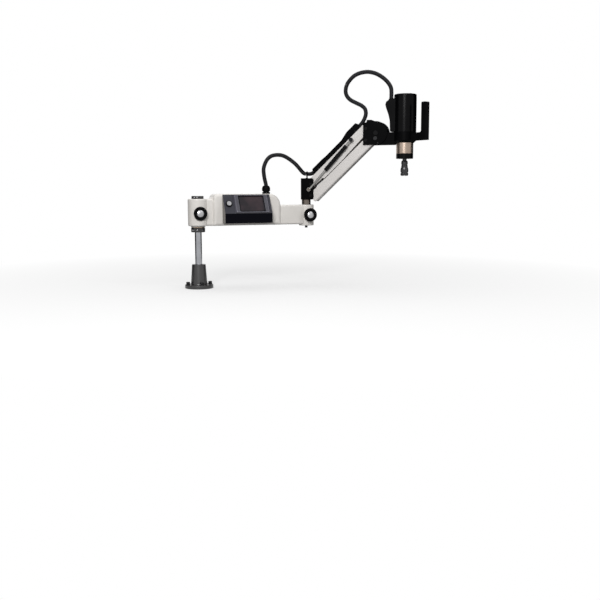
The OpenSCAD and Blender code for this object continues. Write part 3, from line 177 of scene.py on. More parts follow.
finishLooks = {
    "castEnamel": {"colour": (0.13, 0.125, 0.13), "shade": (0.09, 0.085, 0.09), "rough": 0.32,
        "grainScale": 420, "bump": 0.1, "depth": 0.0002, "worn": (0.36, 0.35, 0.36),
        "wornShare": 0.3, "edge": 0.0012, "specular": 0.75},
    "collarEnamel": {"colour": (0.1, 0.1, 0.105), "shade": (0.07, 0.07, 0.075), "rough": 0.3,
        "grainScale": 420, "bump": 0.05, "depth": 0.0002, "worn": (0.26, 0.26, 0.27),
        "wornShare": 0.3, "edge": 0.0008, "specular": 0.6},
    "groundSteel": {"colour": (0.66, 0.665, 0.68), "shade": (0.6, 0.605, 0.62), "rough": 0.17,
        "metal": 1.0, "grainScale": 60, "stretch": (1, 1, 40), "bump": 0.03, "depth": 0.0001,
        "roughSpread": 0.03},
    "blackenedSteel": {"colour": (0.13, 0.13, 0.135), "shade": (0.09, 0.09, 0.095), "rough": 0.34,
        "metal": 0.6, "grainScale": 1500, "bump": 0.1, "worn": (0.4, 0.4, 0.41), "wornShare": 0.4,
        "edge": 0.0003, "specular": 0.25},
    "blackOxide": {"colour": (0.05, 0.05, 0.055), "shade": (0.035, 0.035, 0.04), "rough": 0.32,
        "grainScale": 1500, "bump": 0.05, "worn": (0.22, 0.22, 0.23), "wornShare": 0.3,
        "edge": 0.0003, "specular": 0.06},
    "plainSteel": {"colour": (0.72, 0.72, 0.73), "shade": (0.62, 0.62, 0.63), "rough": 0.3,
        "metal": 1.0, "grainScale": 1300, "bump": 0.15, "edge": 0.0003},
    "bearingBronze": {"colour": (0.76, 0.61, 0.35), "shade": (0.66, 0.5, 0.27), "rough": 0.32,
        "metal": 1.0, "grainScale": 1200, "bump": 0.2},
    "armPaint": {"colour": (0.9, 0.885, 0.865), "shade": (0.885, 0.87, 0.85), "rough": 0.34,
        "grainScale": 380, "grainDetail": 2, "bump": 0.05, "depth": 0.0002, "edge": 0.0018,
        "coat": 0.2, "coatRough": 0.2},
    "linkPaint": {"colour": (0.865, 0.85, 0.84), "shade": (0.85, 0.835, 0.82), "rough": 0.36,
        "grainScale": 420, "grainDetail": 2, "bump": 0.0, "depth": 0.0002, "edge": 0.0012,
        "coat": 0.2, "coatRough": 0.2},
    "shaftSteel": {"colour": (0.46, 0.43, 0.4), "shade": (0.38, 0.35, 0.33), "rough": 0.18,
        "metal": 1.0, "grainScale": 80, "stretch": (1, 1, 30), "bump": 0.05, "depth": 0.0001,
        "edge": 0.0005},
    "consoleShell": {"colour": (0.5, 0.485, 0.47), "shade": (0.46, 0.445, 0.43), "rough": 0.5,
        "grainScale": 2200, "bump": 0.35, "edge": 0.0015},
    "panelPlastic": {"colour": (0.22, 0.22, 0.25), "shade": (0.19, 0.19, 0.22), "rough": 0.34,
        "grainScale": 2600, "bump": 0.25, "edge": 0.0012, "worn": (0.42, 0.42, 0.46),
        "wornShare": 0.3, "specular": 0.25},
    "bezelPlastic": {"colour": (0.27, 0.265, 0.3), "shade": (0.24, 0.235, 0.27), "rough": 0.3,
        "grainScale": 2600, "bump": 0.2, "edge": 0.0015, "worn": (0.5, 0.49, 0.54),
        "wornShare": 0.45},
    "trimPlastic": {"colour": (0.5, 0.49, 0.54), "shade": (0.45, 0.44, 0.49), "rough": 0.3,
        "grainScale": 2400, "bump": 0.15, "edge": 0.0004},
    "blackPlastic": {"colour": (0.055, 0.055, 0.06), "shade": (0.035, 0.035, 0.04), "rough": 0.42,
        "grainScale": 1400, "bump": 0.12, "edge": 0.0008, "worn": (0.16, 0.16, 0.17),
        "wornShare": 0.2, "specular": 0.03},
    "satinSilver": {"colour": (0.7, 0.7, 0.705), "shade": (0.62, 0.62, 0.63), "rough": 0.34,
        "metal": 1.0, "grainScale": 1800, "bump": 0.06, "edge": 0.0005},
    "hoseRubber": {"colour": (0.11, 0.11, 0.125), "shade": (0.08, 0.08, 0.09), "rough": 0.4,
        "grainScale": 1400, "bump": 0.1, "edge": 0.0003, "specular": 0.14},
    "boardGreen": {"colour": (0.1, 0.36, 0.2), "shade": (0.08, 0.28, 0.16), "rough": 0.35,
        "grainScale": 700, "bump": 0.2, "streak": (0.55, 0.5, 0.3), "streakShare": 0.25},
    "supplyZinc": {"colour": (0.72, 0.73, 0.75), "shade": (0.6, 0.61, 0.64), "rough": 0.35,
        "metal": 1.0, "grainScale": 130, "bump": 0.12},
    "blackPowder": {"colour": (0.03, 0.03, 0.035), "shade": (0.02, 0.02, 0.025), "rough": 0.4,
        "grainScale": 700, "bump": 0.12, "depth": 0.0002, "edge": 0.0012,
        "worn": (0.17, 0.17, 0.18), "wornShare": 0.15, "specular": 0.02},
    "glossBlack": {"colour": (0.03, 0.03, 0.035), "shade": (0.02, 0.02, 0.025), "rough": 0.22,
        "grainScale": 600, "roughSpread": 0.03, "bump": 0.03, "edge": 0.001,
        "worn": (0.18, 0.18, 0.19), "wornShare": 0.15, "specular": 0.07},
    "gasLacquer": {"colour": (0.04, 0.04, 0.045), "shade": (0.03, 0.03, 0.035), "rough": 0.26,
        "grainScale": 900, "bump": 0.05, "edge": 0.0006, "specular": 0.1},
    "gasChrome": {"colour": (0.62, 0.615, 0.605), "shade": (0.54, 0.535, 0.525), "rough": 0.2,
        "metal": 1.0, "grainScale": 1500, "bump": 0.03, "edge": 0.0004},
    "reducerBronze": {"colour": (0.66, 0.595, 0.545), "shade": (0.61, 0.545, 0.495), "rough": 0.28,
        "metal": 0.85, "grainScale": 70, "stretch": (1, 1, 30), "bump": 0.05, "depth": 0.0001,
        "edge": 0.0008},
    "toolSteel": {"colour": (0.3, 0.3, 0.305), "shade": (0.2, 0.2, 0.205), "rough": 0.18,
        "metal": 1.0, "grainScale": 90, "stretch": (1, 1, 25), "bump": 0.06, "edge": 0.0006,
        "worn": (0.6, 0.6, 0.6), "wornShare": 0.5},
    "buttonGreen": {"colour": (0.1, 0.3, 0.16), "shade": (0.08, 0.25, 0.13), "rough": 0.3,
        "grainScale": 2500, "bump": 0.15, "edge": 0.0006},
    "buttonRed": {"colour": (0.42, 0.09, 0.08), "shade": (0.36, 0.07, 0.06), "rough": 0.3,
        "grainScale": 2500, "bump": 0.15, "edge": 0.0006},
}
finishes = {name: makeFinish(name, look) for name, look in finishLooks.items()}

# the gloss strip under the console's slope
panelBands = {"knee": 0.3218, "blur": 0.0003, "colour": (0.03, 0.03, 0.06), "rough": 0.14,
              "specular": 0.04}


def makePanelFinish(look):
    # the same moulding turns gloss black on its upright face
    material = finishes["panelPlastic"].copy()
    material.name = "panelTwoTone"
    tree = material.node_tree
    shader = next(n for n in tree.nodes if n.type == "BSDF_PRINCIPLED")
    place = next(n for n in tree.nodes if n.type == "TEX_COORD").outputs["Object"]
    height = addNode(tree, "ShaderNodeSeparateXYZ", {0: place}).outputs["Z"]
    upper = mapRange(tree, height, look["knee"] - look["blur"], look["knee"] + look["blur"], 0, 1)
    grained = shader.inputs["Base Color"].links[0].from_socket
    tree.links.new(mixColours(tree, upper, shown(look["colour"]), grained), shader.inputs["Base Color"])
    roughness = shader.inputs["Roughness"].links[0].from_socket
    both = addNode(tree, "ShaderNodeMix", {0: upper, 2: look["rough"], 3: roughness}, data_type="FLOAT")
    tree.links.new(both.outputs[0], shader.inputs["Roughness"])
    shine = mapRange(tree, upper, 0, 1, look["specular"], shader.inputs["Specular IOR Level"].default_value)
    tree.links.new(shine, shader.inputs["Specular IOR Level"])
    return material


# the screen's two colours sit above the near black of the glass itself: painted glare, the lighter one in
# soft patches
screenLook = {"dark": (0.14, 0.12, 0.14), "light": (0.23, 0.18, 0.20), "specular": 0.25,
              "glareScale": 14, "glareBand": (0.4, 0.65), "smearScale": 60, "smearBand": (0.35, 0.7),
              "rough": (0.05, 0.16)}


def makeScreenFinish(look):
    # dark display glass, a little uneven in tone and gloss; its tone is lifted from the glass's own near
    # black to grey-brown, with lighter soft patches, as painted glare
    material, tree = newMaterial("screenGlass")
    place = addNode(tree, "ShaderNodeTexCoord").outputs["Object"]
    sweep = addNode(tree, "ShaderNodeTexNoise", {
        "Vector": place, "Scale": look["glareScale"], "Detail": 2}).outputs["Fac"]
    smear = addNode(tree, "ShaderNodeTexNoise", {
        "Vector": place, "Scale": look["smearScale"], "Detail": 5}).outputs["Fac"]
    # soft lighter patches of painted glare
    glareShare = mapRange(tree, sweep, *look["glareBand"], 0, 1)
    colour = mixColours(tree, glareShare, shown(look["dark"]), shown(look["light"]))
    shader = addNode(tree, "ShaderNodeBsdfPrincipled", {
        "Base Color": colour, "Roughness": mapRange(tree, smear, *look["smearBand"], *look["rough"]),
        "Specular IOR Level": look["specular"]})
    addNode(tree, "ShaderNodeOutputMaterial", {"Surface": shader.outputs[0]})
    return material


finishes["panelTwoTone"] = makePanelFinish(panelBands)
finishes["screenGlass"] = makeScreenFinish(screenLook)

nodeFinishes = {
    "castEnamel": ["base_flange"],
    "collarEnamel": ["lower_collar", "upper_collar"],
    "groundSteel": ["column"],
    "blackenedSteel": ["column_set_screws", "elbow_retaining_nut", "handle_bolts", "hose_cover_screws",
                       "gas_upper_stud", "tilt_lock_screw"],
    "blackOxide": ["head_pins", "tilt_bolt", "yoke_pins"],
    "plainSteel": ["collar_screws", "rear_cover_screws", "elbow_bearings"],
    "bearingBronze": ["thrust_washer", "column_bushes"],
    "armPaint": ["arm_casting", "rear_cover"],
    "linkPaint": ["upper_link", "lower_link"],
    "shaftSteel": ["elbow_shaft", "gas_lower_stud"],
    "consoleShell": ["console_housing"],
    "panelTwoTone": ["console_panel"],
    "bezelPlastic": ["screen_bezel"],
    "screenGlass": ["screen"],
    "blackPlastic": ["button_collar", "hose_gland", "gland_nut", "hose_clip", "swing_knob", "elbow_knob",
                     "handle", "connector_box"],
    "satinSilver": ["power_button", "swing_knob_insert", "elbow_knob_insert"],
    "hoseRubber": ["hose_lower", "hose_middle", "hose_upper"],
    "boardGreen": ["control_board"],
    "supplyZinc": ["power_supply"],
    "blackPowder": ["elbow_yoke", "head_bracket", "hose_cover", "motor_bracket"],
    "glossBlack": ["motor_housing", "motor_cap", "reducer_ring"],
    "gasLacquer": ["gas_cylinder"],
    "gasChrome": ["gas_rod", "gas_rod_end", "gas_cylinder_end"],
    "reducerBronze": ["reducer"],
    "toolSteel": ["spindle_chuck", "chuck_sleeve"],
    "buttonGreen": ["forward_button"],
    "buttonRed": ["reverse_button"],
}
for finishName, names in nodeFinishes.items():
    for name in names:
        for materialSlot in cadNodes[name].material_slots:
            materialSlot.material = finishes[finishName]
print("finishes made:", len(finishes))


tiny = 0.0001  # radius that closes the middle of a turned form


def ringPoints(radius, z, count=32, corners=0):
    # a circle, or with corners a polygon that has the same number of points
    points = []
    for k in range(count):
        angle = 2 * math.pi * k / count
        r = radius
        if corners:
            part = math.pi / corners
            r = radius * math.cos(part) / math.cos((angle + part) % (2 * part) - part)
        points.append((r * math.cos(angle), r * math.sin(angle), z))
    return points


def loftMesh(name, rings, closed=False):
    # skins rings of equally many points; open stacks get end caps, closed ones join up
    count = len(rings[0])
    points = [p for ring in rings for p in ring]
    faces = []
    for i in range(len(rings) if closed else len(rings) - 1):
        j = (i + 1) % len(rings)
        for k in range(count):
            m = (k + 1) % count
            faces.append((i * count + k, i * count + m, j * count + m, j * count + k))
    if not closed:
        faces.append(tuple(reversed(range(count))))
        faces.append(tuple(range((len(rings) - 1) * count, len(rings) * count)))
    mesh = bpy.data.meshes.new(name)
    mesh.from_pydata(points, [], faces)
    mesh.update()
    return mesh


def turnedMesh(name, profile, count=48):
    # profile of (radius, z) from the foot's middle up to the top's middle
    return loftMesh(name, [ringPoints(r, z, count) for r, z in profile])


def addPiece(name, mesh, finish, body, smoothAngle=32):
    piece = bpy.data.objects.new(name, mesh)
    bpy.context.collection.objects.link(piece)
    mesh.materials.clear()
    mesh.materials.append(finishes[finish])
    if smoothAngle:
        mesh.polygons.foreach_set("use_smooth", [True] * len(mesh.polygons))
        mesh.set_sharp_from_angle(angle=math.radians(smoothAngle))
    if body:
        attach(piece, body)
    return piece


def newShapeTree(name, inputs):
    # a Geometry Nodes tree with its own named inputs, between a group input and a group output
    tree = bpy.data.node_groups.new(name, "GeometryNodeTree")
    tree.interface.new_socket("Geometry", in_out="INPUT", socket_type="NodeSocketGeometry")
    for label, kind, value in inputs:
        socket = tree.interface.new_socket(label, in_out="INPUT", socket_type=kind)
        if value is not None:
            socket.default_value = value
    tree.interface.new_socket("Geometry", in_out="OUTPUT", socket_type="NodeSocketGeometry")
    return tree, addNode(tree, "NodeGroupInput").outputs, addNode(tree, "NodeGroupOutput")


def bakeTree(name, source, tree, values):
    # runs a tree on a source mesh and returns the result as a plain mesh
    holder = bpy.data.objects.new(name + "Source", source)
    bpy.context.collection.objects.link(holder)
    modifier = holder.modifiers.new("shape", "NODES")
    modifier.node_group = tree
    sockets = {s.name: s.identifier for s in tree.interface.items_tree if s.in_out == "INPUT"}
    for label, value in values.items():
        modifier[sockets[label]] = value
    graph = bpy.context.evaluated_depsgraph_get()
    mesh = bpy.data.meshes.new_from_object(holder.evaluated_get(graph))
    mesh.name = name
    bpy.data.objects.remove(holder)
    return mesh


def math2(tree, operation, a, b):
    return addNode(tree, "ShaderNodeMath", {0: a, 1: b}, operation=operation).outputs[0]


def closeTree(tree, shape, material, out):
    # makes copies real, gives them the tree's material and ends the tree
    real = addNode(tree, "GeometryNodeRealizeInstances", {0: shape}).outputs[0]
    done = addNode(tree, "GeometryNodeSetMaterial", {"Geometry": real, "Material": material}).outputs[0]
    tree.links.new(done, out.inputs[0])
    return tree


def makeHoseTree():
    tree, given, out = newShapeTree("ribbedHose", [
        ("Radius", "NodeSocketFloat", 0.009), ("Rib Depth", "NodeSocketFloat", 0.0006),
        ("Rib Pitch", "NodeSocketFloat", 0.004), ("Material", "NodeSocketMaterial", None)])
    way = addNode(tree, "GeometryNodeMeshToCurve", {"Mesh": given["Geometry"]}).outputs[0]
    pointsPerRib, sides = 6.0, 20
    step = math2(tree, "DIVIDE", given["Rib Pitch"], pointsPerRib)
    fine = addNode(tree, "GeometryNodeResampleCurve", {"Curve": way, "Length": step},
                   mode="LENGTH").outputs[0]
    run = addNode(tree, "GeometryNodeSplineParameter").outputs["Length"]
    phase = math2(tree, "MULTIPLY", math2(tree, "DIVIDE", run, given["Rib Pitch"]), 2 * math.pi)
    wave = math2(tree, "MULTIPLY", math2(tree, "ADD", math2(tree, "COSINE", phase, 0.0), 1.0), 0.5)
    radius = math2(tree, "SUBTRACT", given["Radius"], math2(tree, "MULTIPLY", wave, given["Rib Depth"]))
    circle = addNode(tree, "GeometryNodeCurvePrimitiveCircle", {
        "Resolution": sides, "Radius": 1.0}).outputs[0]
    tube = addNode(tree, "GeometryNodeCurveToMesh", {
        "Curve": fine, "Profile Curve": circle, "Scale": radius, "Fill Caps": True}).outputs[0]
    return closeTree(tree, tube, given["Material"], out)


def makeRingTree():
    tree, given, out = newShapeTree("copiesOnRing", [
        ("Count", "NodeSocketInt", 4), ("Ring Radius", "NodeSocketFloat", 0.05),
        ("First Angle", "NodeSocketFloat", 0.0), ("Copy", "NodeSocketObject", None),
        ("Material", "NodeSocketMaterial", None)])
    share = math2(tree, "DIVIDE", addNode(tree, "GeometryNodeInputIndex").outputs[0], given["Count"])
    angle = math2(tree, "ADD", math2(tree, "MULTIPLY", share, 2 * math.pi), given["First Angle"])
    spot = addNode(tree, "ShaderNodeCombineXYZ", {
        "X": math2(tree, "MULTIPLY", math2(tree, "COSINE", angle, 0.0), given["Ring Radius"]),
        "Y": math2(tree, "MULTIPLY", math2(tree, "SINE", angle, 0.0), given["Ring Radius"])}).outputs[0]
    points = addNode(tree, "GeometryNodePoints", {"Count": given["Count"], "Position": spot}).outputs[0]
    copy = addNode(tree, "GeometryNodeObjectInfo", {
        "Object": given["Copy"], "As Instance": True}).outputs["Geometry"]
    turn = addNode(tree, "ShaderNodeCombineXYZ", {"Z": angle}).outputs[0]
    placed = addNode(tree, "GeometryNodeInstanceOnPoints", {
        "Points": points, "Instance": copy, "Rotation": turn}).outputs[0]
    return closeTree(tree, placed, given["Material"], out)


hoseTree = makeHoseTree()
ringTree = makeRingTree()


def ringOfCopies(name, copyMesh, count, radius, finish, place, firstAngle=0.0):
    copy = bpy.data.objects.new(name + "Copy", copyMesh)
    bpy.context.collection.objects.link(copy)
    seed = bpy.data.meshes.new(name + "Seed")
    seed.from_pydata([(0, 0, 0)], [], [])
    mesh = bakeTree(name, seed, ringTree, {
        "Count": count, "Ring Radius": radius, "First Angle": firstAngle, "Copy": copy,
        "Material": finishes[finish]})
    bpy.data.objects.remove(copy)
    mesh.transform(place)
    return mesh


# one black ribbed cable hose, drawn in stretches
hose = {"diameter": 0.018, "ribDepth": 0.0007, "ribPitch": 0.0036}

# middle lines, as in the CAD model; the first is on the first arm, the others along the second
lowerRoute = [
    (310, 0, 432), (309.8, 0, 442), (306.5, 0, 457), (302.5, 0, 475), (299, 0, 507.6), (304.8, 0, 532.4),
    (317.9, 0, 555), (336.6, 0, 569), (366.5, 0, 574), (393.2, 0, 569.7), (420, 0, 556), (447.5, 0, 536),
    (469, 1, 514.5), (480, 3, 503), (490.5, 3, 494.2), (499.7, 0.1, 491),
]
middleRoute = [
    (0, 0, 491), (8, 2.7, 491), (18, 4.5, 491.2), (28, 3.5, 494), (37.5, 1.5, 499.5), (47, 0.5, 506.5),
    (60, 0, 517.9), (110, 0, 565.7), (160, 0, 613.5), (205, 0, 656.5), (228, 0, 679), (246, 0, 699),
]
upperRoute = [
    (246, 0, 699), (258, 0, 713), (267, -1, 730), (272, -2, 748), (268, -4, 768), (252, -5, 783),
    (228, -6, 795), (204, -6, 808), (188, -6, 825), (182, -6, 846), (187, -7, 871), (201, -7, 892),
    (222, -8, 910), (248, -9, 920), (279, -10, 923), (309, -11, 917), (334, -12, 905), (358, -14, 887),
    (375, -15, 868), (384, -16, 850), (386, -17, 833), (386, -18, 818), (386, -18, 806),
]


waySteps = 6  # points that stand for each one of a route


def smoothWay(points, step=waySteps):
    # even curve through the points, with a few more between each two
    way = []
    last = len(points) - 1
    for i in range(last):
        a, b, c, d = (points[max(i - 1, 0)], points[i], points[i + 1], points[min(i + 2, last)])
        for k in range(step):
            t = k / step
            way.append(0.5 * ((2 * b) + (c - a) * t + (2 * a - 5 * b + 4 * c - d) * t ** 2
                              + (3 * b - a - 3 * c + d) * t ** 3))
    return way + [points[last]]


def wayLength(way):
    return sum((b - a).length for a, b in zip(way, way[1:]))


def addHose(name, way, node, bodies):
    line = bpy.data.meshes.new(name + "Way")
    line.from_pydata(way, [(i, i + 1) for i in range(len(way) - 1)], [])
    mesh = bakeTree(name, line, hoseTree, {
        "Radius": hose["diameter"] / 2, "Rib Depth": hose["ribDepth"], "Rib Pitch": hose["ribPitch"],
        "Material": finishes["hoseRubber"]})
    piece = addPiece(name, mesh, "hoseRubber", None, smoothAngle=80)
    if len(bodies) == 1:
        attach(piece, bodies[0])
    else:
        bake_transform(piece)
    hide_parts(node)
    return piece


lowerWay = smoothWay([Vector(p) / 1000 for p in lowerRoute])
middleWay = smoothWay([armPoint(x / 1000, y / 1000, z / 1000) for x, y, z in middleRoute])
upperWay = smoothWay([armPoint(x / 1000, y / 1000, z / 1000) for x, y, z in upperRoute])
# the loop's middle part follows the head bracket alone
loopStart, loopEnd = 10 * waySteps, 16 * waySteps
addHose("lowerHose", lowerWay, "hose_lower", ("first_arm", "yoke"))
addHose("middleHose", middleWay, "hose_middle", ("yoke", "upper_link"))
# the upper hose bends away from the joints' axes: it isn't pinched at the lift's ends, but its last
# stretch still thins at full tilt
addHose("upperHoseFoot", upperWay[:loopStart + 1], "hose_upper", ("upper_link", "head_bracket"))
addHose("upperHoseLoop", upperWay[loopStart:loopEnd + 1], "hose_upper", ("head_bracket",))
addHose("upperHoseEnd", upperWay[loopEnd:], "hose_upper", ("head_bracket", "tilt_head"))
print("hoses made: %.2f m in all" % (wayLength(lowerWay) + wayLength(middleWay) + wayLength(upperWay)))


# socket-head bolts that hold the base down, each on a washer
benchBolt = {"count": 4, "circle": 0.049, "flangeTop": 0.016, "foot": 0.0006, "shank": 0.010,
             "head": 0.016, "headHeight": 0.010, "washer": 0.019, "washerHeight": 0.002,
             "socket": 0.0092, "socketDepth": 0.006, "chamfer": 0.001, "edge": 0.0004,
             "fine": 0.0003}


def makeBenchBolt(look):
    shank, r, w, s = (look[key] / 2 for key in ("shank", "head", "washer", "socket"))
    chamfer, edge, fine = look["chamfer"], look["edge"], look["fine"]
    z0 = look["flangeTop"]
    z1 = z0 + look["washerHeight"]
    z2 = z1 + look["headHeight"]
    turned = [(tiny, look["foot"]), (shank - chamfer, look["foot"]), (shank, look["foot"] + chamfer),
              (shank, z0), (w - edge, z0), (w, z0 + edge), (w, z1 - fine), (w - edge, z1), (r, z1),
              (r, z2 - chamfer), (r - fine, z2 - fine), (r - chamfer, z2)]
    socket = [(s + fine, z2), (s, z2 - edge), (s, z2 - look["socketDepth"])]
    rings = [ringPoints(*spot) for spot in turned] + [ringPoints(*spot, corners=6) for spot in socket]
    return loftMesh("benchBolt", rings + [ringPoints(tiny, z2 - look["socketDepth"] - chamfer)])


boltMesh = ringOfCopies("benchBolts", makeBenchBolt(benchBolt), benchBolt["count"], benchBolt["circle"],
                        "blackenedSteel", Matrix.Identity(4))
addPiece("benchBolts", boltMesh, "blackenedSteel", "stand")


def addRing(name, mesh, count, radius, finish, body, place, firstAngle=0.0):
    # a small form that is repeated round an axis, on one body
    made = ringOfCopies(name, mesh, count, radius, finish, place, firstAngle)
    return addPiece(name, made, finish, body)


def makeRib(name, r, low, high, tip=0.3, sides=10):
    # a round bar whose ends are rounded off
    spots = [(r * tip, low), (r, low + r), (r, high - r), (r * tip, high)]
    return loftMesh(name, [ringPoints(*spot, sides) for spot in spots])


# ribs on the rims of the two clamping knobs
gripRibs = {"radius": 0.0288, "bar": 0.0011, "count": 40, "footGap": 0.0016, "faceGap": 0.0021}
knobPlaces = {"swing": {"foot": (0.0, -0.0433, 0.322), "thick": 0.0087},
              "elbow": {"foot": (0.5, -0.0448, 0.3105), "thick": 0.014}}
for knobName, look in knobPlaces.items():
    rib = makeRib(knobName + "KnobRib", gripRibs["bar"], gripRibs["footGap"],
                  look["thick"] - gripRibs["faceGap"])
    addRing(knobName + "KnobRibs", rib, gripRibs["count"], gripRibs["radius"], "blackPlastic",
            knobName + "_knob", Matrix.Translation(look["foot"]) @ Matrix.Rotation(math.pi / 2, 4, "X"))

motorAxis = (0.849447, -0.273018)
# ribs on the two raised bands of the chuck's sleeve
sleeveRibs = {"foot": 0.47998, "radius": 0.0163, "bar": 0.0007, "count": 36,
              "bands": [(0.0045, 0.0098), (0.0172, 0.0286)]}
for low, high in sleeveRibs["bands"]:
    rib = makeRib("sleeveRib", sleeveRibs["bar"], low, high)
    addRing("sleeveRibs%d" % round(low * 1000), rib, sleeveRibs["count"], sleeveRibs["radius"],
            "toolSteel", "chuck_sleeve", Matrix.Translation((*motorAxis, sleeveRibs["foot"])))

# button-head screws in the motor's cap; the dome's pairs are shares of the head's radius and height
capScrew = {"top": 0.82398, "circle": 0.036, "count": 4, "firstAngle": math.radians(7),
            "head": 0.0042, "height": 0.0014, "sunk": 0.001, "rim": 0.0006,
            "dome": [(0.88, 0.75), (0.62, 1.0)], "socket": 0.0016, "socketDepth": 0.0011,
            "socketMouth": 1.15, "socketEdge": 0.0002, "sides": 24}


def makeCapScrew(look):
    r, h, s, sides = (look[key] for key in ("head", "height", "socket", "sides"))
    turned = [(tiny, -look["sunk"]), (r, -look["sunk"]), (r, look["rim"])]
    turned += [(r * across, h * up) for across, up in look["dome"]]
    socket = [(s * look["socketMouth"], h), (s, h - look["socketEdge"]), (s, h - look["socketDepth"])]
    rings = [ringPoints(*spot, sides) for spot in turned]
    rings += [ringPoints(*spot, sides, corners=6) for spot in socket]
    return loftMesh("capScrew", rings + [ringPoints(tiny, h - look["socketDepth"] - tiny, sides)])


addRing("motorCapScrews", makeCapScrew(capScrew), capScrew["count"], capScrew["circle"],
        "blackenedSteel", "tilt_head", Matrix.Translation((*motorAxis, capScrew["top"])),
        capScrew["firstAngle"])

# rubber seal round the rod, on the gas cylinder's lower face; its profile is in shares as well
gasSeal = {"rodPin": (0.024, 0.4225), "cylinderPin": (0.21594, 0.63532), "side": -0.038,
           "fromPin": 0.173, "radius": 0.0069, "height": 0.0022, "overlap": 0.0004,
           "profile": [(0.7, 0), (0.9, 0.2), (1, 0.6), (1, 1)], "sides": 32}


def addGasSeal(look):
    (x0, z0), (x1, z1) = look["rodPin"], look["cylinderPin"]
    low, high = armPoint(x0, look["side"], z0), armPoint(x1, look["side"], z1)
    ahead = (high - low).normalized()
    foot = high - ahead * (look["fromPin"] + look["height"] - look["overlap"])
    r, h = look["radius"], look["height"]
    profile = [(r * across, h * up) for across, up in look["profile"]]
    mesh = turnedMesh("gasSeal", [(tiny, 0), *profile, (tiny, h)], look["sides"])
    mesh.transform(Matrix.Translation(foot) @ ahead.to_track_quat("Z", "Y").to_matrix().to_4x4())
    addPiece("gasSeal", mesh, "hoseRubber", "gas_cylinder")


addGasSeal(gasSeal)

# frames on the screen's bezel, in the slope's own directions
slope = {"foot": (0.0, -0.085, 0.322), "tilt": math.radians(61.19)}
bezelFrames = {
    "bezelEdge": {"middle": (0.221, 0.04215), "half": (0.0728, 0.0404), "wide": 0.0013, "corner": 0.004,
                  "low": 0.0086, "high": 0.0094, "finish": "trimPlastic"},
    "screenBorder": {"middle": (0.221, 0.04265), "half": (0.0572, 0.0392), "wide": 0.0038, "corner": 0.0025,
                     "low": 0.0086, "high": 0.0093, "finish": "glossBlack"},
}


def roundedLoop(middle, half, corner, z, steps=6):
    points = []
    for quarter in range(4):
        sx, sy = ((1, 1), (-1, 1), (-1, -1), (1, -1))[quarter]
        for k in range(steps + 1):
            angle = math.pi / 2 * (quarter + k / steps)
            points.append((middle[0] + sx * (half[0] - corner) + corner * math.cos(angle),
                           middle[1] + sy * (half[1] - corner) + corner * math.sin(angle), z))
    return points


def addFrame(name, look, edge=0.0003):
    # outer wall, flat top with narrow chamfers, inner wall
    wide, corner, low, high = (look[key] for key in ("wide", "corner", "low", "high"))
    # how far each loop lies inside the outer one, its corner and its height
    loops = [(0, corner, low), (0, corner, high - edge), (edge, corner - edge, high),
             (wide - edge, corner, high), (wide, corner, high - edge), (wide, corner, low)]
    rings = [roundedLoop(look["middle"], (look["half"][0] - inset, look["half"][1] - inset), bend, z)
             for inset, bend, z in loops]
    mesh = loftMesh(name, rings, closed=True)
    mesh.transform(Matrix.Translation(slope["foot"]) @ Matrix.Rotation(slope["tilt"], 4, "X"))
    addPiece(name, mesh, look["finish"], "first_arm")


for frameName, look in bezelFrames.items():
    addFrame(frameName, look)
print("details made")


# soft light from the front and from above
lighting = {
    "world": 0.40,
    "key": {"place": (-1.3, -3.0, 1.7), "aim": (0.35, 0, 0.4), "size": 0.9, "power": 74},
    "fill": {"place": (1.9, -2.6, 2.6), "aim": (0.4, 0, 0.4), "size": 0.7, "power": 12},
    "top": {"place": (0.3, 0.6, 3.2), "aim": (0.4, 0, 0.3), "size": 2.4, "power": 26},
}
# matt black cards left and right of the machine, that only mirror-like surfaces show
darkCards = {
    "left": {"place": (-0.73, 0.69, 0.6), "width": 1.6, "height": 2.4},
    "right": {"place": (1.5, 0.3, 0.6), "width": 2.2, "height": 2.4},
}
cardBlack = (0.01, 0.01, 0.01, 1)
floorLook = {"colour": (0.96, 0.96, 0.96), "bounce": (0.45, 0.45, 0.45), "middle": (0.35, 0, 0),
             "fadeFrom": 0.3, "fadeTo": 1.9, "lift": 0.45, "size": 30, "drop": 0.0004}


def addSheet(name, width, height):
    # a flat sheet about its own middle
    w, h = width / 2, height / 2
    mesh = bpy.data.meshes.new(name)
    mesh.from_pydata([(-w, -h, 0), (w, -h, 0), (w, h, 0), (-w, h, 0)], [], [(0, 1, 2, 3)])
    sheet = bpy.data.objects.new(name, mesh)
    bpy.context.collection.objects.link(sheet)
    return sheet


def addLamp(name, look):
    data = bpy.data.lights.new(name, "AREA")
    data.size, data.energy = look["size"], look["power"]
    lamp = bpy.data.objects.new(name, data)
    bpy.context.collection.objects.link(lamp)
    lamp.location = look["place"]
    lamp.rotation_euler = (Vector(look["aim"]) - Vector(look["place"])).to_track_quat("-Z", "Y").to_euler()


def addCard(name, look, aim=(0.1, 0, 0.6)):
    card = addSheet(name, look["width"], look["height"])
    card.location = look["place"]
    card.rotation_euler = (Vector(aim) - Vector(look["place"])).to_track_quat("-Z", "Y").to_euler()
    material, tree = newMaterial(name)
    matt = addNode(tree, "ShaderNodeBsdfDiffuse", {"Color": cardBlack})
    addNode(tree, "ShaderNodeOutputMaterial", {"Surface": matt.outputs[0]})
    card.data.materials.append(material)
    card.visible_camera = card.visible_diffuse = card.visible_shadow = card.visible_transmission = False


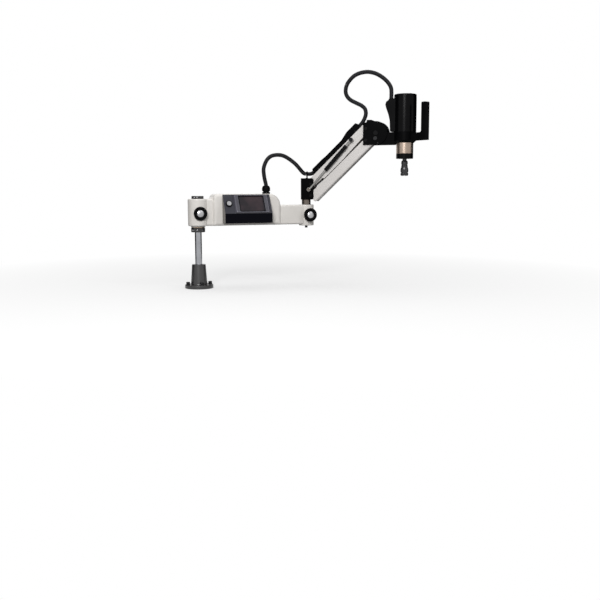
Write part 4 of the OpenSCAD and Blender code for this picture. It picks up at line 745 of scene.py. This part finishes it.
def backgroundRay(tree):
    # 1 for rays that should meet a white background: seen, mirrored or through glass
    path = addNode(tree, "ShaderNodeLightPath").outputs
    either = math2(tree, "MAXIMUM", path["Is Camera Ray"], path["Is Glossy Ray"])
    return math2(tree, "MAXIMUM", either, path["Is Transmission Ray"])


def setWorld(strength):
    world = bpy.data.worlds.new("softWorld")
    bpy.context.scene.world = world
    world.use_nodes = True
    tree = world.node_tree
    tree.nodes.clear()
    power = addNode(tree, "ShaderNodeMix", {0: backgroundRay(tree), 2: strength, 3: 1.0}, data_type="FLOAT")
    shader = addNode(tree, "ShaderNodeBackground", {"Color": (1, 1, 1, 1), "Strength": power.outputs[0]})
    addNode(tree, "ShaderNodeOutputWorld", {"Surface": shader.outputs[0]})


def addFloor(look):
    floor = addSheet("floor", look["size"], look["size"])
    floor.location.z = -look["drop"]
    material, tree = newMaterial("paleFloor")
    place = addNode(tree, "ShaderNodeTexCoord").outputs["Object"]
    distance = addNode(tree, "ShaderNodeVectorMath", {0: place, 1: look["middle"]},
                       operation="DISTANCE").outputs["Value"]
    faded = mapRange(tree, distance, look["fadeFrom"], look["fadeTo"], look["lift"], 1)
    fade = math2(tree, "MULTIPLY", faded, backgroundRay(tree))
    # the undersides of the links stay in shade: the floor throws little light back up at them
    bounced = addNode(tree, "ShaderNodeLightPath").outputs["Is Diffuse Ray"]
    diffuse = addNode(tree, "ShaderNodeBsdfDiffuse", {
        "Color": mixColours(tree, bounced, shown(look["colour"]), shown(look["bounce"]))})
    glow = addNode(tree, "ShaderNodeEmission", {"Color": (1, 1, 1, 1), "Strength": 1.0})
    mixed = addNode(tree, "ShaderNodeMixShader", {0: fade, 1: diffuse.outputs[0], 2: glow.outputs[0]})
    addNode(tree, "ShaderNodeOutputMaterial", {"Surface": mixed.outputs[0]})
    floor.data.materials.append(material)


setWorld(lighting["world"])
for lampName in ("key", "fill", "top"):
    addLamp(lampName + "Lamp", lighting[lampName])
for side, look in darkCards.items():
    addCard(side + "DarkCard", look)
addFloor(floorLook)
print("light and floor set")
